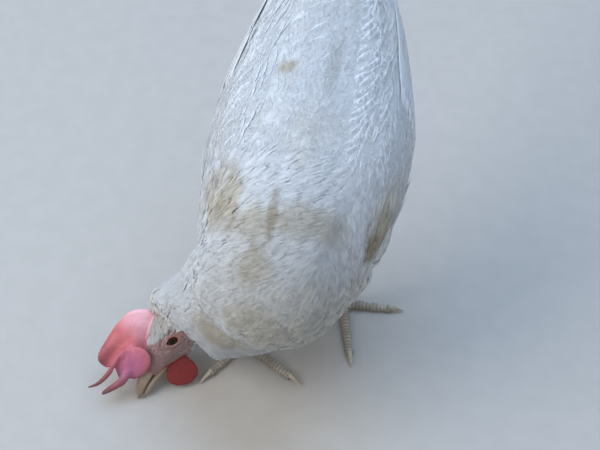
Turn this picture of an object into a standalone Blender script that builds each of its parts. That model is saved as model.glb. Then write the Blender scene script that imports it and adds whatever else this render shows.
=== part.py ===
"""A life-size model of a white hen of a light laying breed, pecking at the ground beside her right foot.

Metres, +Z up. The hen's trunk points along -Y, so her left side is at +X and her right side at -X.
Each sub-part is one closed solid; touching sub-parts keep a gap of 0.3 mm.
"""

import math

import bpy
import bmesh
from mathutils import Matrix, Vector

GAP = 0.0003

# Posture -------------------------------------------------------------------------------------
TRUNK_PITCH = math.radians(20)            # the tail end of the trunk is the higher one
SHOULDER = Vector((0.0, -0.047, 0.222))   # top of the back, over the shoulders
TRUNK_BACK = Vector((0.0, math.cos(TRUNK_PITCH), math.sin(TRUNK_PITCH)))
TRUNK_UP = Vector((0.0, -math.sin(TRUNK_PITCH), math.cos(TRUNK_PITCH)))
SIDE = Vector((1.0, 0.0, 0.0))

BEAK_TIP = Vector((-0.1103, -0.0672, 0.004))   # just over the ground
HEAD_FORWARD = Vector((-0.345, -0.785, -0.515)).normalized()
HEAD_ROLL_UP = Vector((-0.830, -0.010, 0.555))
HEAD_LEFT = HEAD_ROLL_UP.cross(HEAD_FORWARD).normalized()
HEAD_UP = HEAD_FORWARD.cross(HEAD_LEFT).normalized()

# Trunk: distance behind the shoulder, back above the shoulder line, depth, half width
TRUNK_STATIONS = [
    (-0.066, -0.064, 0.034, 0.016),
    (-0.058, -0.047, 0.070, 0.032),
    (-0.042, -0.030, 0.102, 0.046),
    (-0.018, -0.012, 0.131, 0.054),
    (0.018, -0.002, 0.147, 0.058),
    (0.055, 0.000, 0.149, 0.059),
    (0.087, 0.000, 0.141, 0.056),
    (0.113, 0.000, 0.129, 0.050),
    (0.135, 0.001, 0.114, 0.044),
    (0.165, 0.005, 0.091, 0.035),
    (0.195, 0.012, 0.067, 0.028),
    (0.217, 0.018, 0.046, 0.021),
]
BACK_SHARE = 0.42                         # share of the depth above a section's widest level

# Neck: centre and radius of its sections, from inside the trunk to the back of the head
NECK_STATIONS = [
    (0.002, -0.004, 0.150, 0.058),
    (-0.012, -0.016, 0.126, 0.054),
    (-0.035, -0.024, 0.097, 0.0465),
    (-0.061, -0.026, 0.067, 0.037),
    (-0.079, -0.019, 0.049, 0.0305),
    (-0.0885, -0.0095, 0.039, 0.0245),
]
FACE_EDGE = 0.061                         # the neck's feathers start this far behind the beak's tip
NECK_SPLIT = 0.5                          # share of the neck's length where its two lengths meet

# Head: distance behind the beak's tip, half width, top, bottom
HEAD_STATIONS = [
    (0.074, 0.0120, 0.0120, 0.0130),
    (0.068, 0.0165, 0.0175, 0.0190),
    (0.058, 0.0175, 0.0190, 0.0220),
    (0.049, 0.0160, 0.0180, 0.0195),
    (0.041, 0.0135, 0.0155, 0.0155),
    (0.033, 0.0105, 0.0120, 0.0115),
    (0.026, 0.0080, 0.0085, 0.0085),
]
EYE_BACK, EYE_RISE, EYE_OUT, EYE_RADIUS = 0.0500, 0.0014, 0.0108, 0.0064
EARLOBE_BACK, EARLOBE_RISE, EARLOBE_OUT = 0.0648, -0.0100, 0.0165

WATTLE_HANG = {"left": (0.35, -0.48, -0.80), "right": (-0.72, -0.60, -0.16)}

# Comb from its front to its back. Every row is a curve from the base over the bend to the free edge, each as
# distance behind the beak's tip, rise and distance to the left. The blade bulges over the left of the head,
# then its points fall forward past the beak.
COMB_ROWS = [
    ((0.0160, 0.0045), (0.0145, 0.0070, 0.0040), (0.0125, 0.0075, 0.0020)),
    ((0.0190, 0.0060), (0.0165, 0.0110, 0.0070), (0.0075, 0.0139, 0.0020)),
    ((0.0225, 0.0075), (0.0170, 0.0140, 0.0110), (0.0025, 0.0165, 0.0010)),
    ((0.0265, 0.0095), (0.0190, 0.0180, 0.0140), (-0.0114, 0.0215, -0.0010)),
    ((0.0310, 0.0115), (0.0250, 0.0200, 0.0170), (0.0015, 0.0222, -0.0010)),
    ((0.0360, 0.0135), (0.0310, 0.0290, 0.0150), (-0.0140, 0.0340, -0.0030)),
    ((0.0410, 0.0155), (0.0380, 0.0310, 0.0110), (0.0062, 0.0276, -0.0060)),
    ((0.0460, 0.0170), (0.0440, 0.0350, 0.0070), (0.0103, 0.0392, -0.0060)),
    ((0.0510, 0.0180), (0.0500, 0.0350, 0.0040), (0.0240, 0.0380, -0.0060)),
    ((0.0560, 0.0185), (0.0570, 0.0330, 0.0020), (0.0400, 0.0375, -0.0040)),
    ((0.0600, 0.0185), (0.0630, 0.0300, 0.0010), (0.0515, 0.0350, -0.0020)),
    ((0.0630, 0.0180), (0.0640, 0.0230, 0.0000), (0.0620, 0.0240, 0.0000)),
]
COMB_THICK = 0.0045

# Legs: the foot's centre, the direction of its middle toe from straight ahead, in degrees
ANKLE_HEIGHT = 0.010

LEGS = {
    "left": {"foot": (0.0240, 0.0487), "hock": (0.032, 0.082, 0.088), "knee": (0.027, 0.022, 0.126),
             "middle": 17, "inner": -34, "outer": 95, "hind": 194},
    "right": {"foot": (-0.0430, -0.0030), "hock": (-0.040, 0.032, 0.088), "knee": (-0.030, -0.008, 0.126),
              "middle": 61, "inner": 128, "outer": -30, "hind": 226},
}
TOES = {"middle": (0.043, 0.0043), "inner": (0.031, 0.0039), "outer": (0.034, 0.0039), "hind": (0.016, 0.0034)}
CLAW_LENGTH = {"middle": 0.011, "inner": 0.010, "outer": 0.010, "hind": 0.009}

# Tail: two sides of a folded fan that lean together like a roof
TAIL_ROOT = (0.190, 0.002)                # behind the shoulder and above its line
TAIL_LENGTH = 0.168
TAIL_TOP, TAIL_BOTTOM = math.radians(64), math.radians(20)

# Tail coverts: reach along the tail, half width, rise, drop
COVERT_STATIONS = [
    (0.000, 0.027, 0.030, 0.028),
    (0.022, 0.028, 0.036, 0.034),
    (0.045, 0.027, 0.040, 0.036),
    (0.070, 0.022, 0.041, 0.034),
    (0.092, 0.015, 0.036, 0.027),
    (0.106, 0.008, 0.026, 0.017),
    (0.112, 0.003, 0.013, 0.008),
]


def clear_scene():
    for obj in list(bpy.data.objects):
        bpy.data.objects.remove(obj, do_unlink=True)
    for collection in list(bpy.data.collections):
        bpy.data.collections.remove(collection)


def new_collection(name):
    collection = bpy.data.collections.new(name)
    bpy.context.scene.collection.children.link(collection)
    return collection


def material(name, colour, roughness, metallic=0.0):
    made = bpy.data.materials.new(name)
    made.use_nodes = True
    surface = made.node_tree.nodes["Principled BSDF"]
    surface.inputs["Base Color"].default_value = (*colour, 1.0)
    surface.inputs["Roughness"].default_value = roughness
    surface.inputs["Metallic"].default_value = metallic
    return made


clear_scene()
HEN = new_collection("hen")
CUTTERS = new_collection("cutters")
PLUMAGE = material("plumage", (0.86, 0.87, 0.88), 0.8)
FACE = material("bare_skin", (0.62, 0.36, 0.33), 0.6)
COMB_RED = material("comb_red", (0.72, 0.16, 0.18), 0.5)
LOBE = material("earlobe", (0.80, 0.77, 0.72), 0.6)
HORN = material("horn", (0.60, 0.50, 0.33), 0.4)
EYE = material("eye", (0.10, 0.04, 0.02), 0.1)
SCALES = material("leg_scales", (0.62, 0.56, 0.40), 0.55)


# Mesh helpers --------------------------------------------------------------------------------
def finish_mesh(bm, name, look, collection=None):
    bmesh.ops.recalc_face_normals(bm, faces=bm.faces)
    mesh = bpy.data.meshes.new(name)
    bm.to_mesh(mesh)
    bm.free()
    mesh.shade_smooth()
    mesh.set_sharp_from_angle(angle=math.radians(40))
    obj = bpy.data.objects.new(name, mesh)
    (collection or HEN).objects.link(obj)
    mesh.materials.append(look)
    return obj


def loft(name, rings, look, collection=None):
    """Skins rings that all have the same number of points, and closes both ends."""
    bm = bmesh.new()
    loops = [[bm.verts.new(point) for point in ring] for ring in rings]
    count = len(loops[0])
    for near, far in zip(loops, loops[1:]):
        for i in range(count):
            j = (i + 1) % count
            bm.faces.new((near[i], near[j], far[j], far[i]))
    bm.faces.new(loops[0])
    bm.faces.new(loops[-1])
    return finish_mesh(bm, name, look, collection)


def egg_ring(centre, side, up, half_width, rise, drop, count, keel=1.0):
    """An oval ring, rise above its centre and drop below it; keel below 1 narrows its lower half."""
    ring = []
    for i in range(count):
        angle = math.tau * (i + 0.5) / count
        across, along = math.cos(angle), math.sin(angle)
        width = half_width
        if along < 0:
            width *= 1 - (1 - keel) * along * along
        ring.append(centre + side * across * width + up * along * (rise if along > 0 else drop))
    return ring


def smooth_rows(rows, steps):
    """More rows between the given ones, on a Catmull-Rom curve through every column."""
    padded = [rows[0], *rows, rows[-1]]
    made = []
    for before, start, end, after in zip(padded, padded[1:], padded[2:], padded[3:]):
        for step in range(steps):
            t = step / steps
            made.append(tuple(
                0.5 * (2 * b + (c - a) * t + (2 * a - 5 * b + 4 * c - d) * t * t
                       + (3 * b - a - 3 * c + d) * t ** 3)
                for a, b, c, d in zip(before, start, end, after)))
    return made + [tuple(rows[-1])]


def mapped_grid(name, columns, rows, place, look, thickness, collection=None):
    """A sheet of quads put in place by place(u, v), with thickness added on both sides."""
    bm = bmesh.new()
    bmesh.ops.create_grid(bm, x_segments=columns, y_segments=rows, size=0.5)
    weights = []
    for vert in bm.verts:
        u, v = vert.co.x + 0.5, vert.co.y + 0.5
        weights.append(thickness(u, v) / COMB_THICK)
        vert.co = place(u, v)
    obj = finish_mesh(bm, name, look, collection)
    group = obj.vertex_groups.new(name="thickness")
    for index, weight in enumerate(weights):
        group.add([index], weight, "REPLACE")
    solidify = obj.modifiers.new("thickness", "SOLIDIFY")
    solidify.thickness = COMB_THICK
    solidify.offset = 0
    solidify.vertex_group = group.name
    return obj


def applied(obj):
    """Replaces the object's mesh with what its modifiers make of it."""
    graph = bpy.context.evaluated_depsgraph_get()
    mesh = bpy.data.meshes.new_from_object(obj.evaluated_get(graph))
    obj.modifiers.clear()
    obj.data = mesh
    return obj


def inflated(obj, amount=GAP):
    """A hidden cutter: a copy of obj, grown along its normals."""
    cutter = bpy.data.objects.new(obj.name + "_room", obj.data.copy())
    CUTTERS.objects.link(cutter)
    cutter.matrix_world = obj.matrix_world
    normals = [vert.normal.copy() for vert in cutter.data.vertices]
    for vert, normal in zip(cutter.data.vertices, normals):
        vert.co += normal * amount
    cutter.hide_render = True
    cutter.display_type = "WIRE"
    return cutter


def combine(obj, other, operation):
    boolean = obj.modifiers.new(operation.lower(), "BOOLEAN")
    boolean.operation = operation
    boolean.object = other
    return applied(obj)


def cut_from(obj, *others):
    """Cuts away what lies in the others, or within a gap of them."""
    for other in others:
        combine(obj, other if other.name.endswith("_room") else inflated(other), "DIFFERENCE")
    return obj


def keep_side(obj, point, normal):
    """Keeps the part of obj on the normal's side of a plane, and closes the cut."""
    bm = bmesh.new()
    bm.from_mesh(obj.data)
    cut = bmesh.ops.bisect_plane(bm, geom=bm.verts[:] + bm.edges[:] + bm.faces[:], plane_co=point,
                                 plane_no=normal, clear_inner=True)
    edges = [item for item in cut["geom_cut"] if isinstance(item, bmesh.types.BMEdge)]
    bmesh.ops.contextual_create(bm, geom=edges)
    bmesh.ops.recalc_face_normals(bm, faces=bm.faces)
    bm.to_mesh(obj.data)
    bm.free()
    return obj


def copy_of(obj, name):
    twin = bpy.data.objects.new(name, obj.data.copy())
    HEN.objects.link(twin)
    return twin


# Trunk, rump and tail ------------------------------------------------------------------------
def trunk_point(back, rise, out=0.0):
    """A point by distance behind the shoulder, rise over it and distance to the left. The breast turns right."""
    turn = -0.010 * (max(0.05 - back, 0.0) / 0.11) ** 1.5
    return SHOULDER + TRUNK_BACK * back + TRUNK_UP * rise + SIDE * (out + turn)


def make_trunk():
    rings = []
    for back, top, depth, half_width in smooth_rows(TRUNK_STATIONS, 2):
        centre = trunk_point(back, top - depth * BACK_SHARE)
        rings.append(egg_ring(centre, SIDE, TRUNK_UP, half_width, depth * BACK_SHARE,
                              depth * (1 - BACK_SHARE), 22, keel=0.72))
    return loft("trunk", rings, PLUMAGE)


def trunk_section(back):
    """Half width, top and depth of the trunk at this distance behind the shoulder."""
    rows = smooth_rows(TRUNK_STATIONS, 8)
    return min(rows, key=lambda row: abs(row[0] - back))


def make_wing(side, *others):
    """A folded wing: a crescent that hugs the trunk from the shoulder to the rump."""
    sign = 1 if side == "left" else -1
    rows = [  # behind the shoulder, angle of its upper and lower edge on the trunk's section, thickness
        (-0.012, 26, 4, 0.001),
        (0.000, 40, -6, 0.003),
        (0.020, 50, -13, 0.006),
        (0.050, 54, -20, 0.009),
        (0.085, 55, -22, 0.010),
        (0.120, 54, -14, 0.009),
        (0.150, 49, -4, 0.007),
        (0.170, 40, 6, 0.004),
        (0.179, 32, 14, 0.001),
    ]
    steps = 6
    rings = []
    for back, upper, lower, thick in smooth_rows(rows, 2):
        _, top, depth, half_width = trunk_section(back)
        centre = trunk_point(back, top - depth * BACK_SHARE)
        outer, inner = [], []
        for step in range(steps + 1):
            share = step / steps
            angle = math.radians(upper + (lower - upper) * share)
            lift = thick * math.sin(math.pi * (0.08 + 0.84 * share)) ** 0.6
            across, along = math.cos(angle), math.sin(angle)
            reach = depth * (BACK_SHARE if along > 0 else 1 - BACK_SHARE)
            outer.append(centre + SIDE * sign * across * (half_width + lift) + TRUNK_UP * along * (reach + lift))
            inner.append(centre + SIDE * sign * across * (half_width - 0.006) + TRUNK_UP * along * (reach - 0.006))
        rings.append(outer + inner[::-1])
    wing = loft("wing_" + side, rings, PLUMAGE)
    return cut_from(wing, *others)


def make_tail_side(side, *others):
    """One side of the folded fan, as a sheet that leans in to the midline at its top."""
    sign = 1 if side == "left" else -1
    root = trunk_point(*TAIL_ROOT)

    def place(u, v):
        angle = TAIL_BOTTOM + (TAIL_TOP - TAIL_BOTTOM) * v
        longest = TAIL_LENGTH * (0.74 + 0.26 * math.sin(math.pi * (0.06 + 0.74 * v)))
        reach = 0.045 + (longest - 0.045) * u
        lean = 0.004 + (0.012 + 0.024 * u) * (1 - v) ** 0.8
        sweep = 0.10 * u * u * (v - 0.3)
        return root + Vector((sign * lean, math.cos(angle + sweep) * reach, math.sin(angle + sweep) * reach))

    tail = mapped_grid("tail_" + side, 5, 6, place, PLUMAGE, lambda u, v: 0.0045)
    return cut_from(applied(tail), *others)


def make_tail_coverts(trunk):
    """The soft cushion of short feathers round the root of the tail."""
    heading = (TAIL_TOP + TAIL_BOTTOM) / 2
    along = Vector((0.0, math.cos(heading), math.sin(heading)))
    across = Vector((0.0, -math.sin(heading), math.cos(heading)))
    start = trunk_point(0.174, -0.028)
    rings = []
    for reach, half_width, rise, drop in COVERT_STATIONS:
        rings.append(egg_ring(start + along * reach, SIDE, across, half_width, rise, drop, 16))
    return cut_from(loft("tail_coverts", rings, PLUMAGE), trunk)


# Neck and head -------------------------------------------------------------------------------
def head_point(back, rise=0.0, left=0.0):
    return BEAK_TIP - HEAD_FORWARD * back + HEAD_UP * rise + HEAD_LEFT * left


def make_neck(trunk, head, small_parts):
    rows = smooth_rows(NECK_STATIONS, 2)
    points = [Vector(row[:3]) for row in rows]
    rings = []
    for i, point in enumerate(points):
        tangent = (points[min(i + 1, len(points) - 1)] - points[max(i - 1, 0)]).normalized()
        side = tangent.cross(TRUNK_BACK).normalized()
        rings.append(egg_ring(point, side, side.cross(tangent), rows[i][3], rows[i][3], rows[i][3], 20))
    lower = loft("neck_lower", rings, PLUMAGE)
    room = inflated(lower)
    middle = int(NECK_SPLIT * len(points))
    split_normal = (points[middle + 1] - points[middle]).normalized()
    upper = keep_side(copy_of(lower, "neck_upper"), points[middle] + split_normal * GAP / 2, split_normal)
    keep_side(upper, head_point(FACE_EDGE), -HEAD_FORWARD - HEAD_UP * 0.215)
    keep_side(lower, points[middle] - split_normal * GAP / 2, -split_normal)
    cut_from(lower, trunk)
    cut_from(upper, trunk, head, *small_parts)
    return room


def make_head(eyes):
    rings = []
    for back, half_width, top, bottom in smooth_rows(HEAD_STATIONS, 2):
        rings.append(egg_ring(head_point(back), HEAD_LEFT, HEAD_UP, half_width, top, bottom, 20))
    head = loft("head", rings, FACE)
    room = inflated(head)
    cut_from(head, *eyes)
    return room


def make_eye(side):
    sign = 1 if side == "left" else -1
    bm = bmesh.new()
    bmesh.ops.create_uvsphere(bm, u_segments=12, v_segments=8, radius=EYE_RADIUS)
    bmesh.ops.translate(bm, verts=bm.verts, vec=head_point(EYE_BACK, EYE_RISE, sign * EYE_OUT))
    return finish_mesh(bm, "eye_" + side, EYE)


def flat_oval(name, centre, long_axis, flat_axis, half_length, half_width, half_thick, look):
    """A lens-shaped flap with its long and flat directions given."""
    long_axis = long_axis.normalized()
    flat_axis = (flat_axis - long_axis * flat_axis.dot(long_axis)).normalized()
    cross_axis = long_axis.cross(flat_axis)
    bm = bmesh.new()
    bmesh.ops.create_uvsphere(bm, u_segments=12, v_segments=8, radius=1.0)
    for vert in bm.verts:
        along, across, out = vert.co.x, vert.co.y, vert.co.z
        width = half_width * (1.0 + 0.25 * along)
        vert.co = (centre + long_axis * along * half_length + cross_axis * across * width
                   + flat_axis * out * half_thick)
    return finish_mesh(bm, name, look)


def make_earlobe(side, head):
    sign = 1 if side == "left" else -1
    centre = head_point(EARLOBE_BACK, EARLOBE_RISE, sign * EARLOBE_OUT)
    lobe = flat_oval("earlobe_" + side, centre, -HEAD_UP + HEAD_FORWARD * 0.35, HEAD_LEFT, 0.0085, 0.0062,
                     0.0032, LOBE)
    return cut_from(lobe, head)


def make_wattle(side, *others):
    """A round flap under the jaw. The left one hangs; the right one lies out on the ground."""
    sign = 1 if side == "left" else -1
    hang = Vector(WATTLE_HANG[side]).normalized()
    jaw = head_point(0.050, -0.019, sign * 0.0095) - head_point(0.0265, -0.006, sign * 0.0060)
    top = head_point(0.0395 if side == "left" else 0.0430, -0.0120, sign * 0.0080)
    wattle = flat_oval("wattle_" + side, top + hang * 0.0085, hang, hang.cross(jaw), 0.0125, 0.0120, 0.0021,
                       COMB_RED)
    return cut_from(wattle, *others)


def beak_ring(back, half_width, top, bottom, droop):
    return egg_ring(head_point(back, droop), HEAD_LEFT, HEAD_UP, half_width, top, bottom, 12)


def make_beak(head):
    upper = loft("beak_upper", [beak_ring(*row) for row in smooth_rows([
        (0.034, 0.0078, 0.0090, 0.0030, 0.0010),
        (0.026, 0.0070, 0.0082, 0.0034, 0.0002),
        (0.018, 0.0054, 0.0072, 0.0032, 0.0000),
        (0.010, 0.0038, 0.0052, 0.0030, -0.0006),
        (0.004, 0.0022, 0.0028, 0.0026, -0.0016),
        (0.000, 0.0007, 0.0009, 0.0009, -0.0030)], 2)], HORN)
    lower = loft("beak_lower", [beak_ring(*row) for row in smooth_rows([
        (0.034, 0.0064, 0.0030, 0.0030, -0.0082),
        (0.026, 0.0060, 0.0029, 0.0030, -0.0070),
        (0.018, 0.0046, 0.0023, 0.0026, -0.0062),
        (0.010, 0.0032, 0.0016, 0.0020, -0.0060),
        (0.0045, 0.0014, 0.0008, 0.0009, -0.0059)], 2)], HORN)
    cut_from(upper, head)
    cut_from(lower, head)
    return upper, lower


def make_comb(head, upper_beak):
    flat_rows = smooth_rows([base + bend + edge for base, bend, edge in COMB_ROWS], 2)
    last = len(flat_rows) - 1

    def place(u, v):
        row = flat_rows[round(u * last)]
        base, bend, edge = head_point(*row[:2]), head_point(*row[2:5]), head_point(*row[5:])
        return base * (1 - v) ** 2 + bend * 2 * v * (1 - v) + edge * v * v

    comb = mapped_grid("comb", last, 5, place, COMB_RED, lambda u, v: 0.0045 - 0.0022 * v)
    return cut_from(applied(comb), head, upper_beak)


# Legs ----------------------------------------------------------------------------------------
def tube_rings(points, radii, count, floor=None, deep=1.0):
    """Round rings along a path; those that would reach under the floor are flattened on it."""
    rings = []
    for i, point in enumerate(points):
        tangent = (points[min(i + 1, len(points) - 1)] - points[max(i - 1, 0)]).normalized()
        side = tangent.cross(Vector((0, 0, 1)) if abs(tangent.z) < 0.9 else SIDE).normalized()
        up = side.cross(tangent)
        ring = egg_ring(point, side, up, radii[i], radii[i] * deep, radii[i] * deep, count)
        if floor is not None:
            for corner in ring:
                corner.z = max(corner.z, floor)
        rings.append(ring)
    return rings


def toe_heading(degrees):
    angle = math.radians(degrees)
    return Vector((math.sin(angle), -math.cos(angle), 0.0))


def make_leg(side, trunk, neck):
    leg = LEGS[side]
    foot = Vector((*leg["foot"], 0.0))
    hock, knee = Vector(leg["hock"]), Vector(leg["knee"])
    ankle = foot + Vector((0, 0, ANKLE_HEIGHT))

    thigh_points = [knee.lerp(hock, share) for share in (0.0, 0.2, 0.4, 0.6, 0.8, 0.95)]
    thigh = loft("thigh_" + side, tube_rings(thigh_points, [0.030, 0.031, 0.028, 0.021, 0.0135, 0.0085], 14,
                                              deep=1.3),
                 PLUMAGE)

    shank_points = [hock + (hock - ankle).normalized() * 0.004] + [hock.lerp(ankle, k / 6) for k in range(7)]
    shank = loft("shank_" + side, tube_rings(shank_points, [0.0050, 0.0072, 0.0062, 0.0052, 0.0050, 0.0052,
                                                            0.0058, 0.0066], 10), SCALES)
    bm = bmesh.new()
    bmesh.ops.create_uvsphere(bm, u_segments=11, v_segments=6, radius=0.0088)
    for vert in bm.verts:
        vert.co.z = max(vert.co.z * 0.8 + 0.0050, 0.0)
    bmesh.ops.translate(bm, verts=bm.verts, vec=foot)
    pad = finish_mesh(bm, "pad_" + side, SCALES, CUTTERS)
    pad.hide_render = True
    combine(shank, pad, "UNION")
    cut_from(thigh, trunk, neck, shank)

    toes = []
    for toe, (length, radius) in TOES.items():
        heading = toe_heading(leg[toe])
        start, tip_radius = foot + heading * 0.004, radius * 0.72
        points, radii = [], []
        for step in range(8):
            share = step / 7
            swell = 1 + 0.10 * math.cos(math.tau * 3 * share)
            radius_here = (radius + (tip_radius - radius) * share) * swell
            points.append(start + heading * length * share + Vector((0, 0, radius_here * 0.86)))
            radii.append(radius_here)
        solid = loft(f"toe_{side}_{toe}", tube_rings(points, radii, 8, floor=0.0), SCALES)
        cut_from(solid, shank, *toes)
        toes.append(solid)

        claw_points, claw_radii = [], []
        for step in range(5):
            share = step / 4
            claw_points.append(start + heading * (length + 2 * GAP + CLAW_LENGTH[toe] * share)
                               + Vector((0, 0, 0.0036 + 0.0006 * share - 0.0028 * share * share)))
            claw_radii.append(0.0023 * (1 - share) ** 0.8 + 0.00025)
        loft(f"claw_{side}_{toe}", tube_rings(claw_points, claw_radii, 6, floor=0.0), HORN)
    return thigh


def stand_on_origin():
    """Moves the whole hen so that the origin is under the middle of her box, at floor level."""
    bpy.context.view_layer.update()
    corners = [obj.matrix_world @ vert.co for obj in HEN.objects for vert in obj.data.vertices]
    low = Vector([min(corner[i] for corner in corners) for i in range(3)])
    high = Vector([max(corner[i] for corner in corners) for i in range(3)])
    shift = Vector((-(low.x + high.x) / 2, -(low.y + high.y) / 2, -low.z))
    for obj in HEN.objects:
        obj.data.transform(Matrix.Translation(shift))
    return shift


def main():
    trunk = make_trunk()
    eyes = [make_eye(side) for side in ("left", "right")]
    head = make_head(eyes)
    beak = make_beak(head)
    make_comb(head, beak[0])
    small_parts = []
    for side in ("left", "right"):
        lobe = make_earlobe(side, head)
        small_parts += [lobe, make_wattle(side, head, lobe, *beak)]
    neck = make_neck(trunk, head, small_parts)
    coverts_room = inflated(make_tail_coverts(trunk), 2 * GAP)
    for side in ("left", "right"):
        make_leg(side, trunk, neck)
        make_wing(side, trunk, neck)
        make_tail_side(side, coverts_room)
    return stand_on_origin()


SHIFT = main()
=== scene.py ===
"""The looks of a life-size white hen that pecks at the floor.

One skin with comb, wattles and scaled feet, a coat of feathers over it, and beak, eyes and claws.
Metres, +Z up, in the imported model's frame.
"""

import heapq
import math
import random
import typing

import bmesh
import bpy
import numpy as np
from mathutils import Matrix, Vector, noise
from mathutils.bvhtree import BVHTree


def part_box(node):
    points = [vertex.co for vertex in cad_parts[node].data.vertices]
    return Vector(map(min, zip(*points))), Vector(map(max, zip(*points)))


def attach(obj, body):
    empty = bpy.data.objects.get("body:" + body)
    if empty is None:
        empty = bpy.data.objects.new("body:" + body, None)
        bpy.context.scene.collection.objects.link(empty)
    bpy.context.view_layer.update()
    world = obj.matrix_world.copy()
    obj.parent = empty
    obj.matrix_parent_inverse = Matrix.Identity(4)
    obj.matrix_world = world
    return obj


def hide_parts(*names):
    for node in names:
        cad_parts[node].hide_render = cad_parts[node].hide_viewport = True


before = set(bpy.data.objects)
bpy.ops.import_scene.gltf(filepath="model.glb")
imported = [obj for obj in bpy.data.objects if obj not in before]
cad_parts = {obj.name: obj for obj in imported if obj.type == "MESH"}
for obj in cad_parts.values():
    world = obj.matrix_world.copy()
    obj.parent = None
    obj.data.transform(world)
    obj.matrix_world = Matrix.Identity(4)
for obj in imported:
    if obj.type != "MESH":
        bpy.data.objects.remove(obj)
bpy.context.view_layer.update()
random.seed(7)
chance = np.random.default_rng(7)

# Places --------------------------------------------------------------------------------------
# The hen's own coordinates start on the floor under her shoulders. Her left eye tells where that is.
EYE_BACK, EYE_RISE, EYE_OUT, EYE_RADIUS = 0.0500, 0.0014, 0.0108, 0.0064
BEAK_START = Vector((-0.1103, -0.0672, 0.004))
HEAD_FORWARD = Vector((-0.345, -0.785, -0.515)).normalized()
HEAD_LEFT = Vector((-0.830, -0.010, 0.555)).cross(HEAD_FORWARD).normalized()
HEAD_UP = HEAD_FORWARD.cross(HEAD_LEFT).normalized()


def middle(node):
    low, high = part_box(node)
    return (low + high) / 2


EYE_START = BEAK_START - HEAD_FORWARD * EYE_BACK + HEAD_UP * EYE_RISE + HEAD_LEFT * EYE_OUT
HERE = middle("eye_left") - EYE_START
BEAK_TIP = HERE + BEAK_START


def head_point(back, rise=0.0, left=0.0):
    """A point from its distance behind the beak's tip, its rise and its distance to the hen's left."""
    return BEAK_TIP - HEAD_FORWARD * back + HEAD_UP * rise + HEAD_LEFT * left


TRUNK_PITCH = math.radians(20)
TRUNK_BACK = Vector((0.0, math.cos(TRUNK_PITCH), math.sin(TRUNK_PITCH)))
TRUNK_UP = Vector((0.0, -math.sin(TRUNK_PITCH), math.cos(TRUNK_PITCH)))
SHOULDER = HERE + Vector((0.0, -0.047, 0.222))


def trunk_point(back, rise, out=0.0):
    """A point from its distance behind the shoulders, its rise and its distance to the hen's left."""
    return SHOULDER + TRUNK_BACK * back + TRUNK_UP * rise + Vector((out, 0.0, 0.0))


# The middle of the neck from the head to the shoulders, and for each leg its joints and the toes' headings
# in degrees
NECK_LINE = [(-0.0885, -0.0095, 0.039), (-0.079, -0.019, 0.049), (-0.061, -0.026, 0.067),
             (-0.035, -0.024, 0.097), (-0.010, -0.014, 0.128), (0.0, 0.010, 0.150)]
LEGS = {
    "left": {"foot": (0.0240, 0.0487), "hock": (0.032, 0.082, 0.088), "knee": (0.027, 0.022, 0.126),
             "middle": 17, "inner": -34, "outer": 95, "hind": 194},
    "right": {"foot": (-0.0430, -0.0030), "hock": (-0.040, 0.032, 0.088), "knee": (-0.030, -0.008, 0.126),
              "middle": 61, "inner": 128, "outer": -30, "hind": 226},
}
SIGN = {"left": 1, "right": -1}
SIDES = tuple(SIGN)


# Meshes --------------------------------------------------------------------------------------
def finish_piece(bm, name, look):
    mesh = bpy.data.meshes.new(name)
    bm.to_mesh(mesh)
    bm.free()
    return add_piece(mesh, name, look)


def add_piece(mesh, name, look):
    mesh.shade_smooth()
    obj = in_scene(name, mesh)
    mesh.materials.clear()
    mesh.materials.append(look)
    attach(obj, "root")
    return obj


def in_scene(name, data):
    obj = bpy.data.objects.new(name, data)
    bpy.context.scene.collection.objects.link(obj)
    return obj


def add_layer(mesh, name, values):
    """Stores one number for every point of a mesh, for materials and masks."""
    mesh.attributes.new(name, "FLOAT", "POINT").data.foreach_set("value", values)


def point_array(mesh, key="co"):
    values = np.zeros(len(mesh.vertices) * 3)
    mesh.vertices.foreach_get(key, values)
    return values.reshape(-1, 3)


def node_copy(bm, node, grow=0.0):
    """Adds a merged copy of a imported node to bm, grown a little along its normals."""
    part = bmesh.new()
    part.from_mesh(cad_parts[node].data)
    bmesh.ops.remove_doubles(part, verts=part.verts, dist=1e-6)
    part.normal_update()
    if grow:
        for vert in part.verts:
            vert.co += vert.normal * grow
    mesh = bpy.data.meshes.new("part")
    part.to_mesh(mesh)
    part.free()
    bm.from_mesh(mesh)
    bpy.data.meshes.remove(mesh)


def node_tree(node):
    """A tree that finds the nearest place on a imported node."""
    bm = bmesh.new()
    node_copy(bm, node)
    tree = BVHTree.FromBMesh(bm)
    bm.free()
    return tree


def fused(bm, voxel):
    """One closed surface round everything in bm, as a new bmesh. Pockets inside it are dropped."""
    mesh = bpy.data.meshes.new("fused")
    bm.to_mesh(mesh)
    bm.free()
    obj = in_scene("fused", mesh)
    remesh = obj.modifiers.new("voxels", "REMESH")
    remesh.mode = "VOXEL"
    remesh.voxel_size = voxel
    bpy.context.view_layer.update()
    result = bpy.data.meshes.new_from_object(obj.evaluated_get(bpy.context.evaluated_depsgraph_get()))
    bpy.data.objects.remove(obj)
    bpy.data.meshes.remove(mesh)
    whole = bmesh.new()
    whole.from_mesh(result)
    bpy.data.meshes.remove(result)
    keep_largest(whole)
    return whole


def keep_largest(bm):
    bm.verts.ensure_lookup_table()
    unseen, islands = set(bm.verts), []
    while unseen:
        stack = [unseen.pop()]
        island = []
        while stack:
            vert = stack.pop()
            island.append(vert)
            for edge in vert.link_edges:
                other = edge.other_vert(vert)
                if other in unseen:
                    unseen.remove(other)
                    stack.append(other)
        islands.append(island)
    islands.sort(key=len)
    for island in islands[:-1]:
        bmesh.ops.delete(bm, geom=island, context="VERTS")


def smooth(bm, times, verts=None):
    axes = {f"use_axis_{axis}": True for axis in "xyz"}
    for _ in range(times):
        bmesh.ops.smooth_vert(bm, verts=verts or bm.verts, factor=0.5, **axes)


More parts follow.
